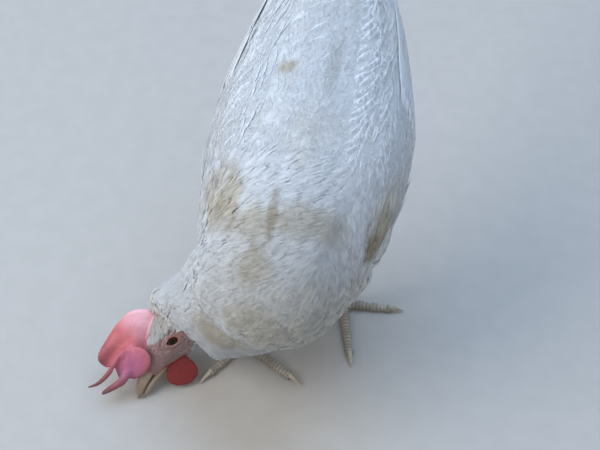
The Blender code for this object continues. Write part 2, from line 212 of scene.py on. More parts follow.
# The surface that the feathers' tips reach -----------------------------------------------------
class Coat(typing.NamedTuple):
    """The plumage on one node of flesh."""

    depth: float        # of the coat over the skin
    from_head: float    # how far its lie follows the shortest way from the head, and not the guides below
    length: float       # of one feather
    width: float        # half the width of one feather
    spacing: float      # between the roots


WING = Coat(0.0044, 0.6, 0.034, 0.0092, 0.0054)
THIGH = Coat(0.0044, 0.0, 0.026, 0.0050, 0.0040)
COATS = {
    "trunk": Coat(0.0046, 0.85, 0.042, 0.0100, 0.0056),
    "neck_lower": Coat(0.0046, 1.0, 0.034, 0.0036, 0.0030),
    "neck_upper": Coat(0.0038, 1.0, 0.026, 0.0022, 0.0022),
    "head": Coat(0.0006, 0.6, 0.018, 0.0014, 0.0017),
    "wing_left": WING,
    "wing_right": WING,
    "thigh_left": THIGH,
    "thigh_right": THIGH,
    "tail_coverts": Coat(0.007, 0.2, 0.052, 0.0100, 0.0060),
}
FLESH = tuple(COATS)
FORM_VOXEL = 0.0034
FORM_GROW = 0.0006      # closes the thin gaps between the nodes before they are fused


def flow_guides():
    """Short lines that say which way the feathers lie: from head to tail, and down each leg."""
    lines = []

    def line(points, pull):
        for start, end in zip(points, points[1:]):
            lines.append(((start + end) / 2, (end - start).normalized(), pull))

    neck = [HERE + Vector(point) for point in NECK_LINE]
    line([head_point(back, 0.004) for back in (0.0, 0.02, 0.04, 0.06)] + neck, 1.0)
    line([trunk_point(back, -0.06) for back in (-0.02, 0.02, 0.06, 0.10, 0.14, 0.18)], 1.0)
    line([trunk_point(back, -0.03) for back in (0.02, 0.06, 0.10, 0.14, 0.18)], 1.0)
    line([trunk_point(back, -0.11 + back * 0.35) for back in (0.0, 0.04, 0.08, 0.12, 0.16)], 0.7)
    slope = math.radians(42)
    tail = Vector((0.0, math.cos(slope), math.sin(slope)))
    line([trunk_point(0.19, -0.02) + tail * reach for reach in (0.0, 0.04, 0.08, 0.12)], 1.5)
    for side in SIDES:
        knee, hock = (HERE + Vector(LEGS[side][name]) for name in ("knee", "hock"))
        line([knee.lerp(hock, share) for share in (0.25, 0.5, 0.75, 1.0, 1.25)], 0.8)
    return lines


# Where the coat fills a crease, as middle, reach and rounds of smoothing
NECK_FILL = (HERE + Vector(NECK_LINE[3]), 0.062, 80)
HEAD_FILL = (head_point(0.074), 0.030, 45)
# Where it stands out, as middle, reach and height: behind the comb, and in the hollow where the neck leaves
# the shoulder
CREST = (head_point(0.068, 0.022), 0.017, 0.0075)
NECK_SWELL = (trunk_point(-0.038, -0.056, -0.050), 0.020, 0.0045)
LUMP_HEIGHT, LUMP_LENGTH, LOCK_HEIGHT, LOCK_LENGTH = 0.0026, 0.060, 0.0012, 0.045
RUFFLED_TO, CALM_OVER, CALM_SHARE = 0.12, 0.07, 0.85


def ruffle(point):
    """How far the coat swells at a place: long soft lumps that run out from the head, calmer on the back."""
    off = Vector(point) - head_point(0.06)
    far = off.length
    way = off.normalized()
    lumps = noise.noise(way * 9.0 + Vector((far / LUMP_LENGTH, 0.0, 3.0)))
    locks = noise.noise(way * 24.0 + Vector((0.0, far / LOCK_LENGTH, 7.0)))
    strength = 1.0 - CALM_SHARE * max(0.0, min(1.0, (far - RUFFLED_TO) / CALM_OVER))
    start = max(0.0, min(1.0, (far - 0.010) / 0.030))
    return start * strength * (LUMP_HEIGHT * lumps + LOCK_HEIGHT * locks)


def hill(point, middle, reach):
    """1 at a middle, falling smoothly to 0 some way beyond its reach."""
    return math.exp(-((point - middle).length / reach) ** 2)


class Surface:
    """Faces that feathers are planted on."""

    def at(self, point):
        """The nearest place on the surface, and its face."""
        place, _, face, _ = self.tree.find_nearest(point)
        return place, face


class Form(Surface):
    """The coat's outer surface as arrays, its depth over the skin, and the lie of the feathers on it."""

    def __init__(self):
        bm = bmesh.new()
        for node in FLESH:
            node_copy(bm, node, FORM_GROW)
        bm = fused(bm, FORM_VOXEL)
        smooth(bm, 5)
        crease, reach, times = NECK_FILL
        smooth(bm, times, [vert for vert in bm.verts if (vert.co - crease).length < reach])
        joint, reach, times = HEAD_FILL
        smooth(bm, times, [vert for vert in bm.verts if (vert.co - joint).length < reach
                           and (vert.co - joint).dot(HEAD_UP) > 0.001])
        for vert in bm.verts:
            vert.co += HEAD_UP * CREST[2] * hill(vert.co, *CREST[:2])
            vert.co += vert.normal * NECK_SWELL[2] * hill(vert.co, *NECK_SWELL[:2])
            vert.co += vert.normal * ruffle(vert.co)
        bm.verts.index_update()
        bm.normal_update()
        self.points = np.array([vert.co for vert in bm.verts])
        self.normals = np.array([vert.normal for vert in bm.verts])
        self.edges = np.array([[vert.index for vert in edge.verts] for edge in bm.edges])
        self.faces = [[vert.index for vert in face.verts] for face in bm.faces]
        bm.free()
        self.label_nodes()
        self.depth = self.spread(self.per_node("depth"), 14)
        self.flow = self.lie()
        self.tree = BVHTree.FromPolygons(self.points.tolist(), self.faces)
        first = np.array([face[0] for face in self.faces])
        third = np.array([face[2] for face in self.faces])
        self.face_flow = self.flow[first] + self.flow[third]
        calm = self.spread(self.normals, 6)
        self.face_normal = calm[first] + calm[third]
        self.face_normal /= np.linalg.norm(self.face_normal, axis=1)[:, None]
        self.face_depth = (self.depth[first] + self.depth[third]) / 2
        self.face_node = self.node[first]

    def per_node(self, field):
        """One number of the node's coat, for every point."""
        return np.array([getattr(COATS[FLESH[i]], field) for i in self.node])

    def label_nodes(self):
        """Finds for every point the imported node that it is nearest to."""
        best = np.full(len(self.points), 1.0)
        self.node = np.zeros(len(self.points), int)
        for index, name in enumerate(FLESH):
            tree = node_tree(name)
            for i, point in enumerate(self.points):
                distance = tree.find_nearest(point, 0.02)[3]
                if distance is not None and distance < best[i]:
                    best[i], self.node[i] = distance, index

    def spread(self, values, times):
        """Averages a value over neighbouring points, several times."""
        values = np.array(values, float)
        one, two = self.edges[:, 0], self.edges[:, 1]
        flat = values.reshape(len(values), -1)
        count = np.bincount(self.edges.ravel(), minlength=len(values))[:, None] + 1.0
        for _ in range(times):
            total = flat.copy()
            for column in range(flat.shape[1]):
                total[:, column] += np.bincount(one, flat[two, column], len(values))
                total[:, column] += np.bincount(two, flat[one, column], len(values))
            flat = total / count
        return flat.reshape(values.shape)

    def way_from_head(self):
        """The direction in which the shortest way over the surface from the head grows, at every point."""
        one, two = self.edges.T
        step = self.points[two] - self.points[one]
        size = np.linalg.norm(step, axis=1)
        links = [[] for _ in self.points]
        for start, end, length in zip(one.tolist(), two.tolist(), size.tolist()):
            links[start].append((end, length))
            links[end].append((start, length))
        far = np.full(len(self.points), np.inf)
        queue = [(0.0, index) for index in np.where(self.node == FLESH.index("head"))[0].tolist()]
        while queue:
            reached, index = heapq.heappop(queue)
            if reached >= far[index]:
                continue
            far[index] = reached
            for other, length in links[index]:
                if reached + length < far[other]:
                    heapq.heappush(queue, (reached + length, other))
        self.far = self.spread(np.where(np.isfinite(far), far, 0.4), 8)
        growth = ((self.far[two] - self.far[one]) / size ** 2)[:, None] * step
        flow = np.zeros_like(self.points)
        for column in range(3):
            flow[:, column] = (np.bincount(one, growth[:, column], len(flow))
                               + np.bincount(two, growth[:, column], len(flow)))
        return self.on_surface(self.spread(self.on_surface(flow), 8))

    def lie(self):
        flow = np.zeros_like(self.points)
        for centre, way, pull in flow_guides():
            gap = np.linalg.norm(self.points - np.array(centre), axis=1)
            flow += (pull / (gap ** 2 + 0.0004) ** 2)[:, None] * np.array(way)
        share = self.spread(self.per_node("from_head"), 12)[:, None]
        flow = self.on_surface(flow) * (1 - share) + self.way_from_head() * share
        return self.on_surface(self.spread(flow, 6))

    def on_surface(self, flow):
        flow = flow - self.normals * (flow * self.normals).sum(1)[:, None]
        return flow / (np.linalg.norm(flow, axis=1)[:, None] + 1e-12)


form = Form()


# Modelling helpers ---------------------------------------------------------------------------
def smooth_rows(rows, steps):
    """More rows between the given ones, on a Catmull-Rom curve through every column."""
    padded = [rows[0], *rows, rows[-1]]
    made = []
    for before, start, end, after in zip(padded, padded[1:], padded[2:], padded[3:]):
        for step in range(steps):
            t = step / steps
            made.append(tuple(
                0.5 * (2 * b + (c - a) * t + (2 * a - 5 * b + 4 * c - d) * t * t
                       + (3 * b - a - 3 * c + d) * t ** 3)
                for a, b, c, d in zip(before, start, end, after)))
    return made + [tuple(rows[-1])]


def turns(count):
    """Even angles round a ring."""
    return [math.tau * i / count for i in range(count)]


def oval(centre, side, up, half_width, rise, drop, count):
    """A ring of points, with its own height above and below the centre."""
    ring = []
    for angle in turns(count):
        along = math.sin(angle)
        height = rise if along > 0 else drop
        ring.append(centre + side * math.cos(angle) * half_width + up * along * height)
    return ring


def ball(bm, around, high, radius=1.0):
    """Adds a sphere and returns its points."""
    return bmesh.ops.create_uvsphere(bm, u_segments=around, v_segments=high, radius=radius)["verts"]


def tube(bm, rings):
    """A closed tube through rings that all have the same number of points, drawn together at both ends."""
    first, last = (sum(ring, Vector()) / len(ring) for ring in (rings[0], rings[-1]))
    count = len(rings[0])
    rings = [[first] * count, *rings, [last] * count]
    made = bmesh.ops.create_grid(bm, x_segments=count, y_segments=len(rings) - 1, size=0.5)["verts"]
    for vert in made:
        column = round((vert.co.x + 0.5) * count) % count
        vert.co = rings[round((vert.co.y + 0.5) * (len(rings) - 1))][column]
    bmesh.ops.remove_doubles(bm, verts=made, dist=1e-7)
    return bm


def blade(bm, columns, rows, place, half_thick):
    """A closed sheet: place(u, v) is its middle surface, and half_thick(u, v) its half thickness there."""
    sheets = []
    for side in (1, -1):
        made = bmesh.ops.create_grid(bm, x_segments=columns, y_segments=rows, size=0.5)["verts"]
        spots = [(vert.co.x + 0.5, vert.co.y + 0.5) for vert in made]
        for vert, (u, v) in zip(made, spots):
            vert.co = place(u, v)
        bm.normal_update()
        shifts = [vert.normal * side * half_thick(u, v) for vert, (u, v) in zip(made, spots)]
        for vert, shift in zip(made, shifts):
            vert.co += shift
        sheets.append(made)
    rim = [edge for edge in {edge for made in sheets for vert in made for edge in vert.link_edges}
           if edge.is_boundary]
    bmesh.ops.bridge_loops(bm, edges=rim)
    return bm


def blend(value, low, high):
    """0 below low, 1 above high and smooth between, for numbers and arrays."""
    share = np.clip((value - low) / (high - low), 0.0, 1.0)
    return share * share * (3 - 2 * share)


def joined(base, others):
    """The union of a base bmesh with others, as one mesh with no surfaces inside it."""
    objects = []
    for bm in [base, *others]:
        mesh = bpy.data.meshes.new("joined")
        bmesh.ops.recalc_face_normals(bm, faces=bm.faces)
        bm.to_mesh(mesh)
        bm.free()
        objects.append(in_scene("joined", mesh))
    for other in objects[1:]:
        union = objects[0].modifiers.new("union", "BOOLEAN")
        union.operation, union.object, union.solver = "UNION", other, "MANIFOLD"
    bpy.context.view_layer.update()
    graph = bpy.context.evaluated_depsgraph_get()
    mesh = bpy.data.meshes.new_from_object(objects[0].evaluated_get(graph))
    for obj in objects:
        old = obj.data
        bpy.data.objects.remove(obj)
        bpy.data.meshes.remove(old)
    return mesh


# Feathers ------------------------------------------------------------------------------------
def leaf(u, full, taper, curve, blunt):
    """Half width at a share u of a feather's length: it is full at one place and narrows from another."""
    grown = min(1.0, (u / full + 0.02) ** 0.7)
    return grown * max(0.0, 1 - max(0.0, (u - taper) / (1 - taper)) ** curve) ** blunt + 0.02


def rounded(u):
    return leaf(u, 0.45, 0.5, 2.4, 0.5)


def pointed(u):
    return leaf(u, 0.35, 0.35, 1.6, 0.75)


class Pattern:
    """One feather in its own coordinates: across in half widths, along in lengths and height in metres."""

    def __init__(self, outline, slim, barbs, barb_reach, across=3, rounding=0.25, rows=6, thick=0.00022,
                 barb_wide=0.00035, ragged=0.15, width=0.008, length=0.035, seed=0):
        dice = random.Random(seed)
        self.points, self.faces, self.facing = [], [], []
        self.rounding = rounding    # how far the shading turns to the sides, on top of the body's own curve
        self.add_vane(outline, slim, across, rows, thick)
        for index in range(barbs):
            share = (index + dice.random()) / barbs
            side = 1 if index % 2 else -1
            start = 0.28 + 0.62 * share
            end = start + barb_reach * dice.uniform(0.8, 1.25)
            reach = min(end, 0.97)
            foot = (side * outline(start) * 0.45 * dice.uniform(0.3, 1.0), start)
            rim = side * max(outline(reach), 0.12 * dice.random())
            tip = (rim * dice.uniform(1 - ragged, 1 + ragged), end)
            self.add_barb(foot, tip, barb_wide * dice.uniform(0.7, 1.3), thick, width, length,
                          dice.uniform(-1.0, 1.5) * thick)

    def add_vane(self, outline, slim, across, rows, thick):
        """A thin closed leaf. Both sides split along the same lines, so neither shows through the other."""
        sides = []
        for lift, rim, facing in ((thick, 0.0, 1.0), (0.0, -0.00008, -1.0)):
            first = len(self.points)
            for row in range(rows):
                u = 1 - (1 - row / (rows - 1)) ** 1.8
                for column in range(across):
                    a = 2 * column / (across - 1) - 1
                    self.points.append((a * outline(u) * slim, u, rim + lift * (1 - a * a)))
                    self.facing.append(facing)
            sides.append(first)
        upper, under = sides
        for row in range(rows - 1):
            start, step = row * across, across
            for one in range(start, start + across - 1):
                for two, three in ((one + 1, one + 1 + step), (one + 1 + step, one + step)):
                    self.faces.append((upper + one, upper + two, upper + three))
                    self.faces.append((under + three, under + two, under + one))
            last = start + across - 1
            self.faces.append((upper + last, under + last, under + last + step, upper + last + step))
            self.faces.append((under + start, upper + start, upper + start + step, under + start + step))
        ends = (rows - 1) * across
        for one, two in ((under, upper), (upper + ends, under + ends)):
            there, back = [one + i for i in range(across)], [two + i for i in reversed(range(across))]
            self.faces.append(tuple(there + back))

    def add_barb(self, foot, tip, wide, thick, width, length, lift):
        """A three-sided spike from a foot in the vane to a tip at its edge."""
        way = Vector(((tip[0] - foot[0]) * width, (tip[1] - foot[1]) * length)).normalized()
        across = (-way.y * wide / width, way.x * wide / length)
        first = len(self.points)
        self.points += [
            (foot[0] - across[0], foot[1] - across[1], thick * 0.3),
            (foot[0] + across[0], foot[1] + across[1], thick * 0.3),
            (foot[0], foot[1], thick * 1.5),
            (tip[0], tip[1], thick + lift),
        ]
        self.facing += [1.0] * 4
        for corners in ((0, 1, 3), (1, 2, 3), (2, 0, 3), (1, 0, 2)):
            self.faces.append(tuple(first + corner for corner in corners))


class Batch:
    """Feathers that share a set of patterns, stamped along traced spines into one mesh."""

    STEPS = 5                   # of a spine, from root to tip
    PATCH = (0.0012, 0.0024)    # half width and length of a feather on the unwrapped skin

    def __init__(self):
        self.coords, self.loops, self.sizes = [], [], []
        self.lie, self.bake, self.reach, self.shade, self.normals = [], [], [], [], []
        self.count = 0

    def stamp(self, spines, widths, patterns, camber=0.04):
        """Adds a feather for every spine: its centre, across and normal at every step, and its root's UV."""
        centre, across, normal, roots = spines
        total = len(centre)
        if not total:
            return
        pick = chance.integers(0, len(patterns), total)
        for index, pattern in enumerate(patterns):
            mine = np.where(pick == index)[0]
            if len(mine):
                self.stamp_one(centre[mine], across[mine], normal[mine], roots[mine], widths[mine], pattern,
                               camber)

    def stamp_one(self, centre, across, normal, roots, widths, pattern, camber):
        points = np.array(pattern.points)
        place = np.clip(points[:, 1], 0, None) * self.STEPS
        low = np.minimum(place.astype(int), self.STEPS - 1)
        part = (place - low)[None, :, None]

        def between(values):
            return values[:, low] * (1 - part) + values[:, low + 1] * part

        a, h = points[:, 0][None, :, None], points[:, 2][None, :, None]
        wide = widths[:, None, None]
        coords = between(centre) + between(across) * a * wide + between(normal) * (h - camber * a * a * wide)
        total, each = coords.shape[:2]
        loop = np.array([corner for face in pattern.faces for corner in face])
        size = np.array([len(face) for face in pattern.faces])
        self.coords.append(coords.reshape(-1, 3))
        side = np.array(pattern.facing)[None, :, None]
        facing = between(normal) * side + between(across) * a * pattern.rounding
        self.normals.append(facing.reshape(-1, 3))
        starts = self.count + np.arange(total)[:, None] * each
        self.loops.append((loop[None, :] + starts).ravel())
        self.sizes.append(np.tile(size, total))
        self.count += total * each
        own = np.stack([points[loop, 0], points[loop, 1]], 1)
        offset = chance.uniform(0, 40, (total, 1, 2)).round()
        self.lie.append((own[None] + offset).reshape(-1, 2))
        patch = own * self.PATCH - (0.0, self.PATCH[1] / 2)
        self.bake.append((roots[:, None, :] + patch[None]).reshape(-1, 2))
        self.reach.append(np.tile(np.clip(points[:, 1], 0, 1.1), total))
        self.shade.append(np.repeat(chance.random(total), each))

    def piece(self, name, look):
        coords, loops, sizes = (np.concatenate(group) for group in (self.coords, self.loops, self.sizes))
        mesh = bpy.data.meshes.new(name)
        mesh.vertices.add(len(coords))
        mesh.vertices.foreach_set("co", coords.ravel())
        mesh.loops.add(len(loops))
        mesh.loops.foreach_set("vertex_index", loops)
        mesh.polygons.add(len(sizes))
        mesh.polygons.foreach_set("loop_start", np.concatenate([[0], np.cumsum(sizes)[:-1]]))
        for layer, values in (("OFBake", self.bake), ("lie", self.lie)):
            mesh.uv_layers.new(name=layer).uv.foreach_set("vector", np.concatenate(values).ravel())
        for layer, values in (("reach", self.reach), ("shade", self.shade)):
            add_layer(mesh, layer, np.concatenate(values))
        normals = np.concatenate(self.normals)
        normals /= np.linalg.norm(normals, axis=1)[:, None] + 1e-9
        mesh.update(calc_edges=True)
        shading = mesh.attributes.new("custom_normal", "FLOAT_VECTOR", "POINT")
        shading.data.foreach_set("vector", normals.ravel())
        obj = add_piece(mesh, name, look)
        return obj


BACKBONE = [head_point(0.0), head_point(0.06), *(HERE + Vector(point) for point in NECK_LINE[2:5]),
            trunk_point(0.05, -0.06), trunk_point(0.14, -0.05), trunk_point(0.24, -0.02)]
MAP_MARGIN, MAP_SPAN = 0.02, 0.96


def unwrap(points):
    """Where skin points lie on the unwrapped skin: their place along the hen, and their angle round her."""
    line = np.array(BACKBONE)
    lengths = np.concatenate([[0], np.cumsum(np.linalg.norm(np.diff(line, axis=0), axis=1))])
    best = np.full(len(points), 1e9)
    along, turn = np.zeros(len(points)), np.zeros(len(points))
    for start, end, reached in zip(line, line[1:], lengths):
        way = (end - start) / np.linalg.norm(end - start)
        share = np.clip((points - start) @ way, 0, np.linalg.norm(end - start))
        off = points - start - share[:, None] * way
        gap = np.linalg.norm(off, axis=1)
        right = np.cross(way, (0.0, 0.0, 1.0))
        right /= np.linalg.norm(right)
        up = np.cross(right, way)
        nearer = gap < best
        best[nearer] = gap[nearer]
        along[nearer] = reached + share[nearer]
        turn[nearer] = np.arctan2(off[nearer] @ right, off[nearer] @ up)
    return np.stack([MAP_MARGIN + MAP_SPAN * along / lengths[-1], 0.5 + turn / math.tau * MAP_SPAN], 1)


TRIES = 2.6         # random places tried for every one that is wanted
CLOSEST = 0.78      # how near two places may come, as a share of their spacing


def scatter(surface, spacing, allowed):
    """Random places on a surface's faces, spacing apart where allowed."""
    quads = np.array([face[:4] for face in surface.faces])
    corner = surface.points[quads]
    area = np.linalg.norm(np.cross(corner[:, 2] - corner[:, 0], corner[:, 3] - corner[:, 1]), axis=1) / 2
    share = spacing[quads].mean(1)
    wanted = np.where(allowed, area / share ** 2, 0.0)
    tries = int(wanted.sum() * TRIES)
    if not tries:
        return np.zeros((0, 3)), np.zeros(0, int)
    faces = chance.choice(len(quads), tries, p=wanted / wanted.sum())
    u, v = chance.random((2, tries, 1))
    spots = (corner[faces, 0] * (1 - u) + corner[faces, 1] * u) * (1 - v) + (
        corner[faces, 3] * (1 - u) + corner[faces, 2] * u) * v
    cell = float(share[allowed].max())
    taken, kept = {}, []
    for index in range(tries):
        spot, reach = spots[index], share[faces[index]] * CLOSEST
        key = tuple((spot // cell).astype(int))
        near = [other for dx in (-1, 0, 1) for dy in (-1, 0, 1) for dz in (-1, 0, 1)
                for other in taken.get((key[0] + dx, key[1] + dy, key[2] + dz), ())]
        if near and (((spots[near] - spot) ** 2).sum(1) < reach * reach).any():
            continue
        taken.setdefault(key, []).append(index)
        kept.append(index)
    return spots[kept], faces[kept]


LAYING = 3.0        # how soon a feather's spine bends to lie flat
KEEPING = 0.55      # how far a feather keeps its own direction from step to step


def trace(surface, spots, lengths, turn, rise):
    """Walks from every root along the lie of the coat, and climbs from the skin to the coat's surface."""
    total, steps = len(spots), Batch.STEPS
    centre, across, normal = (np.zeros((total, steps + 1, 3)) for _ in range(3))
    roots = np.zeros((total, 3))
    for index in range(total):
        point, way = Vector(spots[index]), None
        for step in range(steps + 1):
            place, face = surface.at(point)
            up = Vector(surface.face_normal[face])
            lie = Vector(surface.face_flow[face])
            lie = (lie - up * lie.dot(up)).normalized()
            if way is None:
                way = Matrix.Rotation(turn[index], 3, up) @ lie
            else:
                way = way * KEEPING + lie * (1 - KEEPING)
                way = (way - up * way.dot(up)).normalized()
            share = step / steps
            depth = surface.face_depth[face]
            height = -depth * (1 - share) ** LAYING + rise[index] * share * share
            centre[index, step] = place + up * height
            across[index, step] = way.cross(up)
            normal[index, step] = up
            if not step:
                roots[index] = place - up * depth
            point = place + way * (lengths[index] / steps)
    return centre, across, normal, unwrap(roots)


# Looks ---------------------------------------------------------------------------------------
class Net:
    """Adds nodes to a tree: inputs that are sockets are linked, others are set."""

    def __init__(self, tree):
        self.tree = tree

    def add(self, kind, inputs=None, out=0, **settings):
        node = self.tree.nodes.new(kind)
        for key, value in settings.items():
            setattr(node, key, value)
        for key, value in (inputs or {}).items():
            socket = node.inputs[key]
            if isinstance(value, bpy.types.NodeSocket):
                self.tree.links.new(value, socket)
            else:
                socket.default_value = value
        return node.outputs[out]

    def math(self, operation, one, two=0.0, clamp=False):
        return self.add("ShaderNodeMath", {0: one, 1: two}, operation=operation, use_clamp=clamp)

    def vector(self, operation, one, two=(0, 0, 0), out=0):
        return self.add("ShaderNodeVectorMath", {0: one, 1: two}, out, operation=operation)

    def noise(self, where, scale, detail=3.0, rough=0.5):
        return self.add("ShaderNodeTexNoise", {"Vector": where, "Scale": scale, "Detail": detail,
                                               "Roughness": rough})

    def ramp(self, value, low, high, to_low=0.0, to_high=1.0):
        limits = {"From Min": low, "From Max": high, "To Min": to_low, "To Max": to_high}
        return self.add("ShaderNodeMapRange", {"Value": value, **limits}, interpolation_type="SMOOTHSTEP")

    def mix(self, share, one, two, blend_type="MIX"):
        return self.add("ShaderNodeMix", {"Factor": share, 6: one, 7: two}, 2,
                        data_type="RGBA", blend_type=blend_type)

    def own(self, name):
        """A number that the mesh itself carries."""
        return self.add("ShaderNodeAttribute", None, "Fac", attribute_name=name)

    def place(self):
        return self.add("ShaderNodeTexCoord", None, "Object")

    def group(self, tree, inputs, out=0):
        return self.add("ShaderNodeGroup", inputs, out, node_tree=tree)


def new_group(name, inputs, outputs):
    tree = bpy.data.node_groups.new(name, "ShaderNodeTree")
    for label, kind, value in inputs:
        socket = tree.interface.new_socket(label, in_out="INPUT", socket_type=kind)
        socket.default_value = value
    for label, kind in outputs:
        tree.interface.new_socket(label, in_out="OUTPUT", socket_type=kind)
    return tree, tree.nodes.new("NodeGroupInput"), tree.nodes.new("NodeGroupOutput")


def colour(red, green, blue):
    return (red, green, blue, 1.0)


WHITE = colour(0.91, 0.925, 0.93)
CREAM = colour(0.82, 0.77, 0.65)
TAN = colour(0.58, 0.47, 0.29)
PAINTED_GROOVE_SHADE = colour(0.60, 0.60, 0.56)
ROSY = colour(0.36, 0.235, 0.21)
BROWN = colour(0.36, 0.27, 0.15)
# Places where dust and wear tint the plumage, and where painted shade darkens it (in the groove down the
# back and under the neck and body): their middle, their reach across, along and up the hen, the colour and
# its strength.
STAINS_AND_SHADE = [
    (trunk_point(0.010, -0.018, -0.044), (0.017, 0.020, 0.030), TAN, 0.72),
    (trunk_point(-0.004, -0.021, -0.040), (0.012, 0.014, 0.020), TAN, 0.60),
    (trunk_point(-0.010, -0.011, -0.017), (0.019, 0.013, 0.020), TAN, 0.66),
    (trunk_point(-0.003, -0.007, -0.007), (0.004, 0.019, 0.020), BROWN, 0.70),
    (trunk_point(-0.004, -0.010, 0.010), (0.017, 0.013, 0.020), TAN, 0.60),
    (trunk_point(-0.003, -0.017, 0.028), (0.014, 0.012, 0.020), TAN, 0.55),
    (trunk_point(-0.034, -0.026, -0.015), (0.014, 0.012, 0.020), TAN, 0.60),
    (trunk_point(0.020, -0.040, 0.060), (0.013, 0.026, 0.022), CREAM, 1.00),
    (trunk_point(0.012, -0.042, 0.057), (0.009, 0.018, 0.016), TAN, 0.70),
    (trunk_point(-0.002, -0.047, 0.054), (0.009, 0.011, 0.013), BROWN, 1.10),
    (trunk_point(0.095, -0.003, -0.018), (0.007, 0.006, 0.020), TAN, 0.85),
    # Painted shade: a grey line in the groove between the folded wings.
    (trunk_point(0.100, -0.002, 0.012), (0.005, 0.024, 0.020), PAINTED_GROOVE_SHADE, 0.70),
    (trunk_point(0.045, -0.003, 0.004), (0.014, 0.026, 0.030), CREAM, 0.50),
    (trunk_point(-0.060, -0.052, -0.014), (0.020, 0.020, 0.016), TAN, 0.60),
    (trunk_point(-0.064, -0.070, 0.000), (0.026, 0.020, 0.020), TAN, 0.65),
    # These two are partly tan and cream stains, partly painted shade under the neck.
    (trunk_point(-0.061, -0.104, -0.038), (0.026, 0.024, 0.018), TAN, 0.90),
    (trunk_point(-0.050, -0.080, 0.010), (0.060, 0.050, 0.050), CREAM, 0.80),
    (head_point(0.060, 0.012), (0.018, 0.018, 0.018), CREAM, 0.80),
    (head_point(0.042, -0.004), (0.022, 0.020, 0.020), ROSY, 1.00),
    (head_point(0.052, 0.012), (0.014, 0.014, 0.014), ROSY, 0.55),
    (head_point(0.075, -0.016), (0.020, 0.020, 0.018), TAN, 0.60),
    # Partly a cream stain, partly painted shade on the underside of the body.
    (trunk_point(0.060, -0.125, 0.000), (0.090, 0.090, 0.030), CREAM, 0.60),
]
BLOT_EDGE, BLOT_CORE = 1.25, 0.35         # where a blot starts and where it is full, in its own reaches


def plumage_colours():
    """The plumage's colour at a point, with its stains and some painted shade, which skin and coat share."""
    tree, given, result = new_group("plumage_colours", [("Streak", "NodeSocketFloat", 0.5)],
                                    [("Color", "NodeSocketColor")])
    net = Net(tree)
    place = net.place()
    patch = net.noise(net.vector("MULTIPLY", place, (2.4, 0.8, 0.8)), 60.0, 4.0, 0.6)
    drift = net.math("SUBTRACT", patch, 0.5)
    made = net.mix(net.ramp(net.noise(place, 16.0, 2.0), 0.45, 0.75), WHITE, CREAM)
    made = net.mix(0.35, WHITE, made)
    streak = net.math("MULTIPLY_ADD", given.outputs["Streak"], 1.1)
    streak.node.inputs[2].default_value = 0.35
    for centre, reach, tint, strength in STAINS_AND_SHADE:
        off = net.vector("SUBTRACT", place, centre)
        spread = net.vector("LENGTH", net.vector("DIVIDE", off, reach), out=1)
        spread = net.math("ADD", spread, net.math("MULTIPLY", drift, 1.3))
        mask = net.ramp(spread, BLOT_EDGE, BLOT_CORE)
        mask = net.math("MULTIPLY", net.math("MULTIPLY", mask, strength), streak, clamp=True)
        made = net.mix(mask, made, tint)
    tree.links.new(made, result.inputs["Color"])
    return tree


def grain():
    """Height from two sizes of grain, and a mask of the furrows between the larger grains."""
    tree, given, result = new_group("grain",
                                    [("Size", "NodeSocketFloat", 400.0), ("Fine", "NodeSocketFloat", 0.4)],
                                    [("Height", "NodeSocketFloat"), ("Mask", "NodeSocketFloat")])
    net = Net(tree)
    place, size = net.place(), given.outputs["Size"]
    cells = net.add("ShaderNodeTexVoronoi", {"Vector": place, "Scale": size}, 0, feature="SMOOTH_F1")
    small = net.noise(place, net.math("MULTIPLY", size, 3.0), 4.0)
    height = net.math("MULTIPLY_ADD", net.math("SUBTRACT", 1.0, cells), 0.6)
    tree.links.new(net.math("MULTIPLY", small, given.outputs["Fine"]), height.node.inputs[2])
    tree.links.new(height, result.inputs["Height"])
    tree.links.new(net.ramp(cells, 0.15, 0.7), result.inputs["Mask"])
    return tree


def new_look(name, roughness, **sockets):
    made = bpy.data.materials.new(name)
    made.use_nodes = True
    surface = made.node_tree.nodes["Principled BSDF"]
    surface.inputs["Roughness"].default_value = roughness
    for key, value in sockets.items():
        surface.inputs[key.replace("_", " ")].default_value = value
    return made, Net(made.node_tree), surface


def bump(net, surface, height, distance, strength):
    normal = net.add("ShaderNodeBump", {"Height": height, "Distance": distance, "Strength": strength})
    net.tree.links.new(normal, surface.inputs["Normal"])


def set_colour(net, surface, value):
    net.tree.links.new(value, surface.inputs["Base Color"])


PLUMAGE_COLOURS = plumage_colours()
GRAIN = grain()


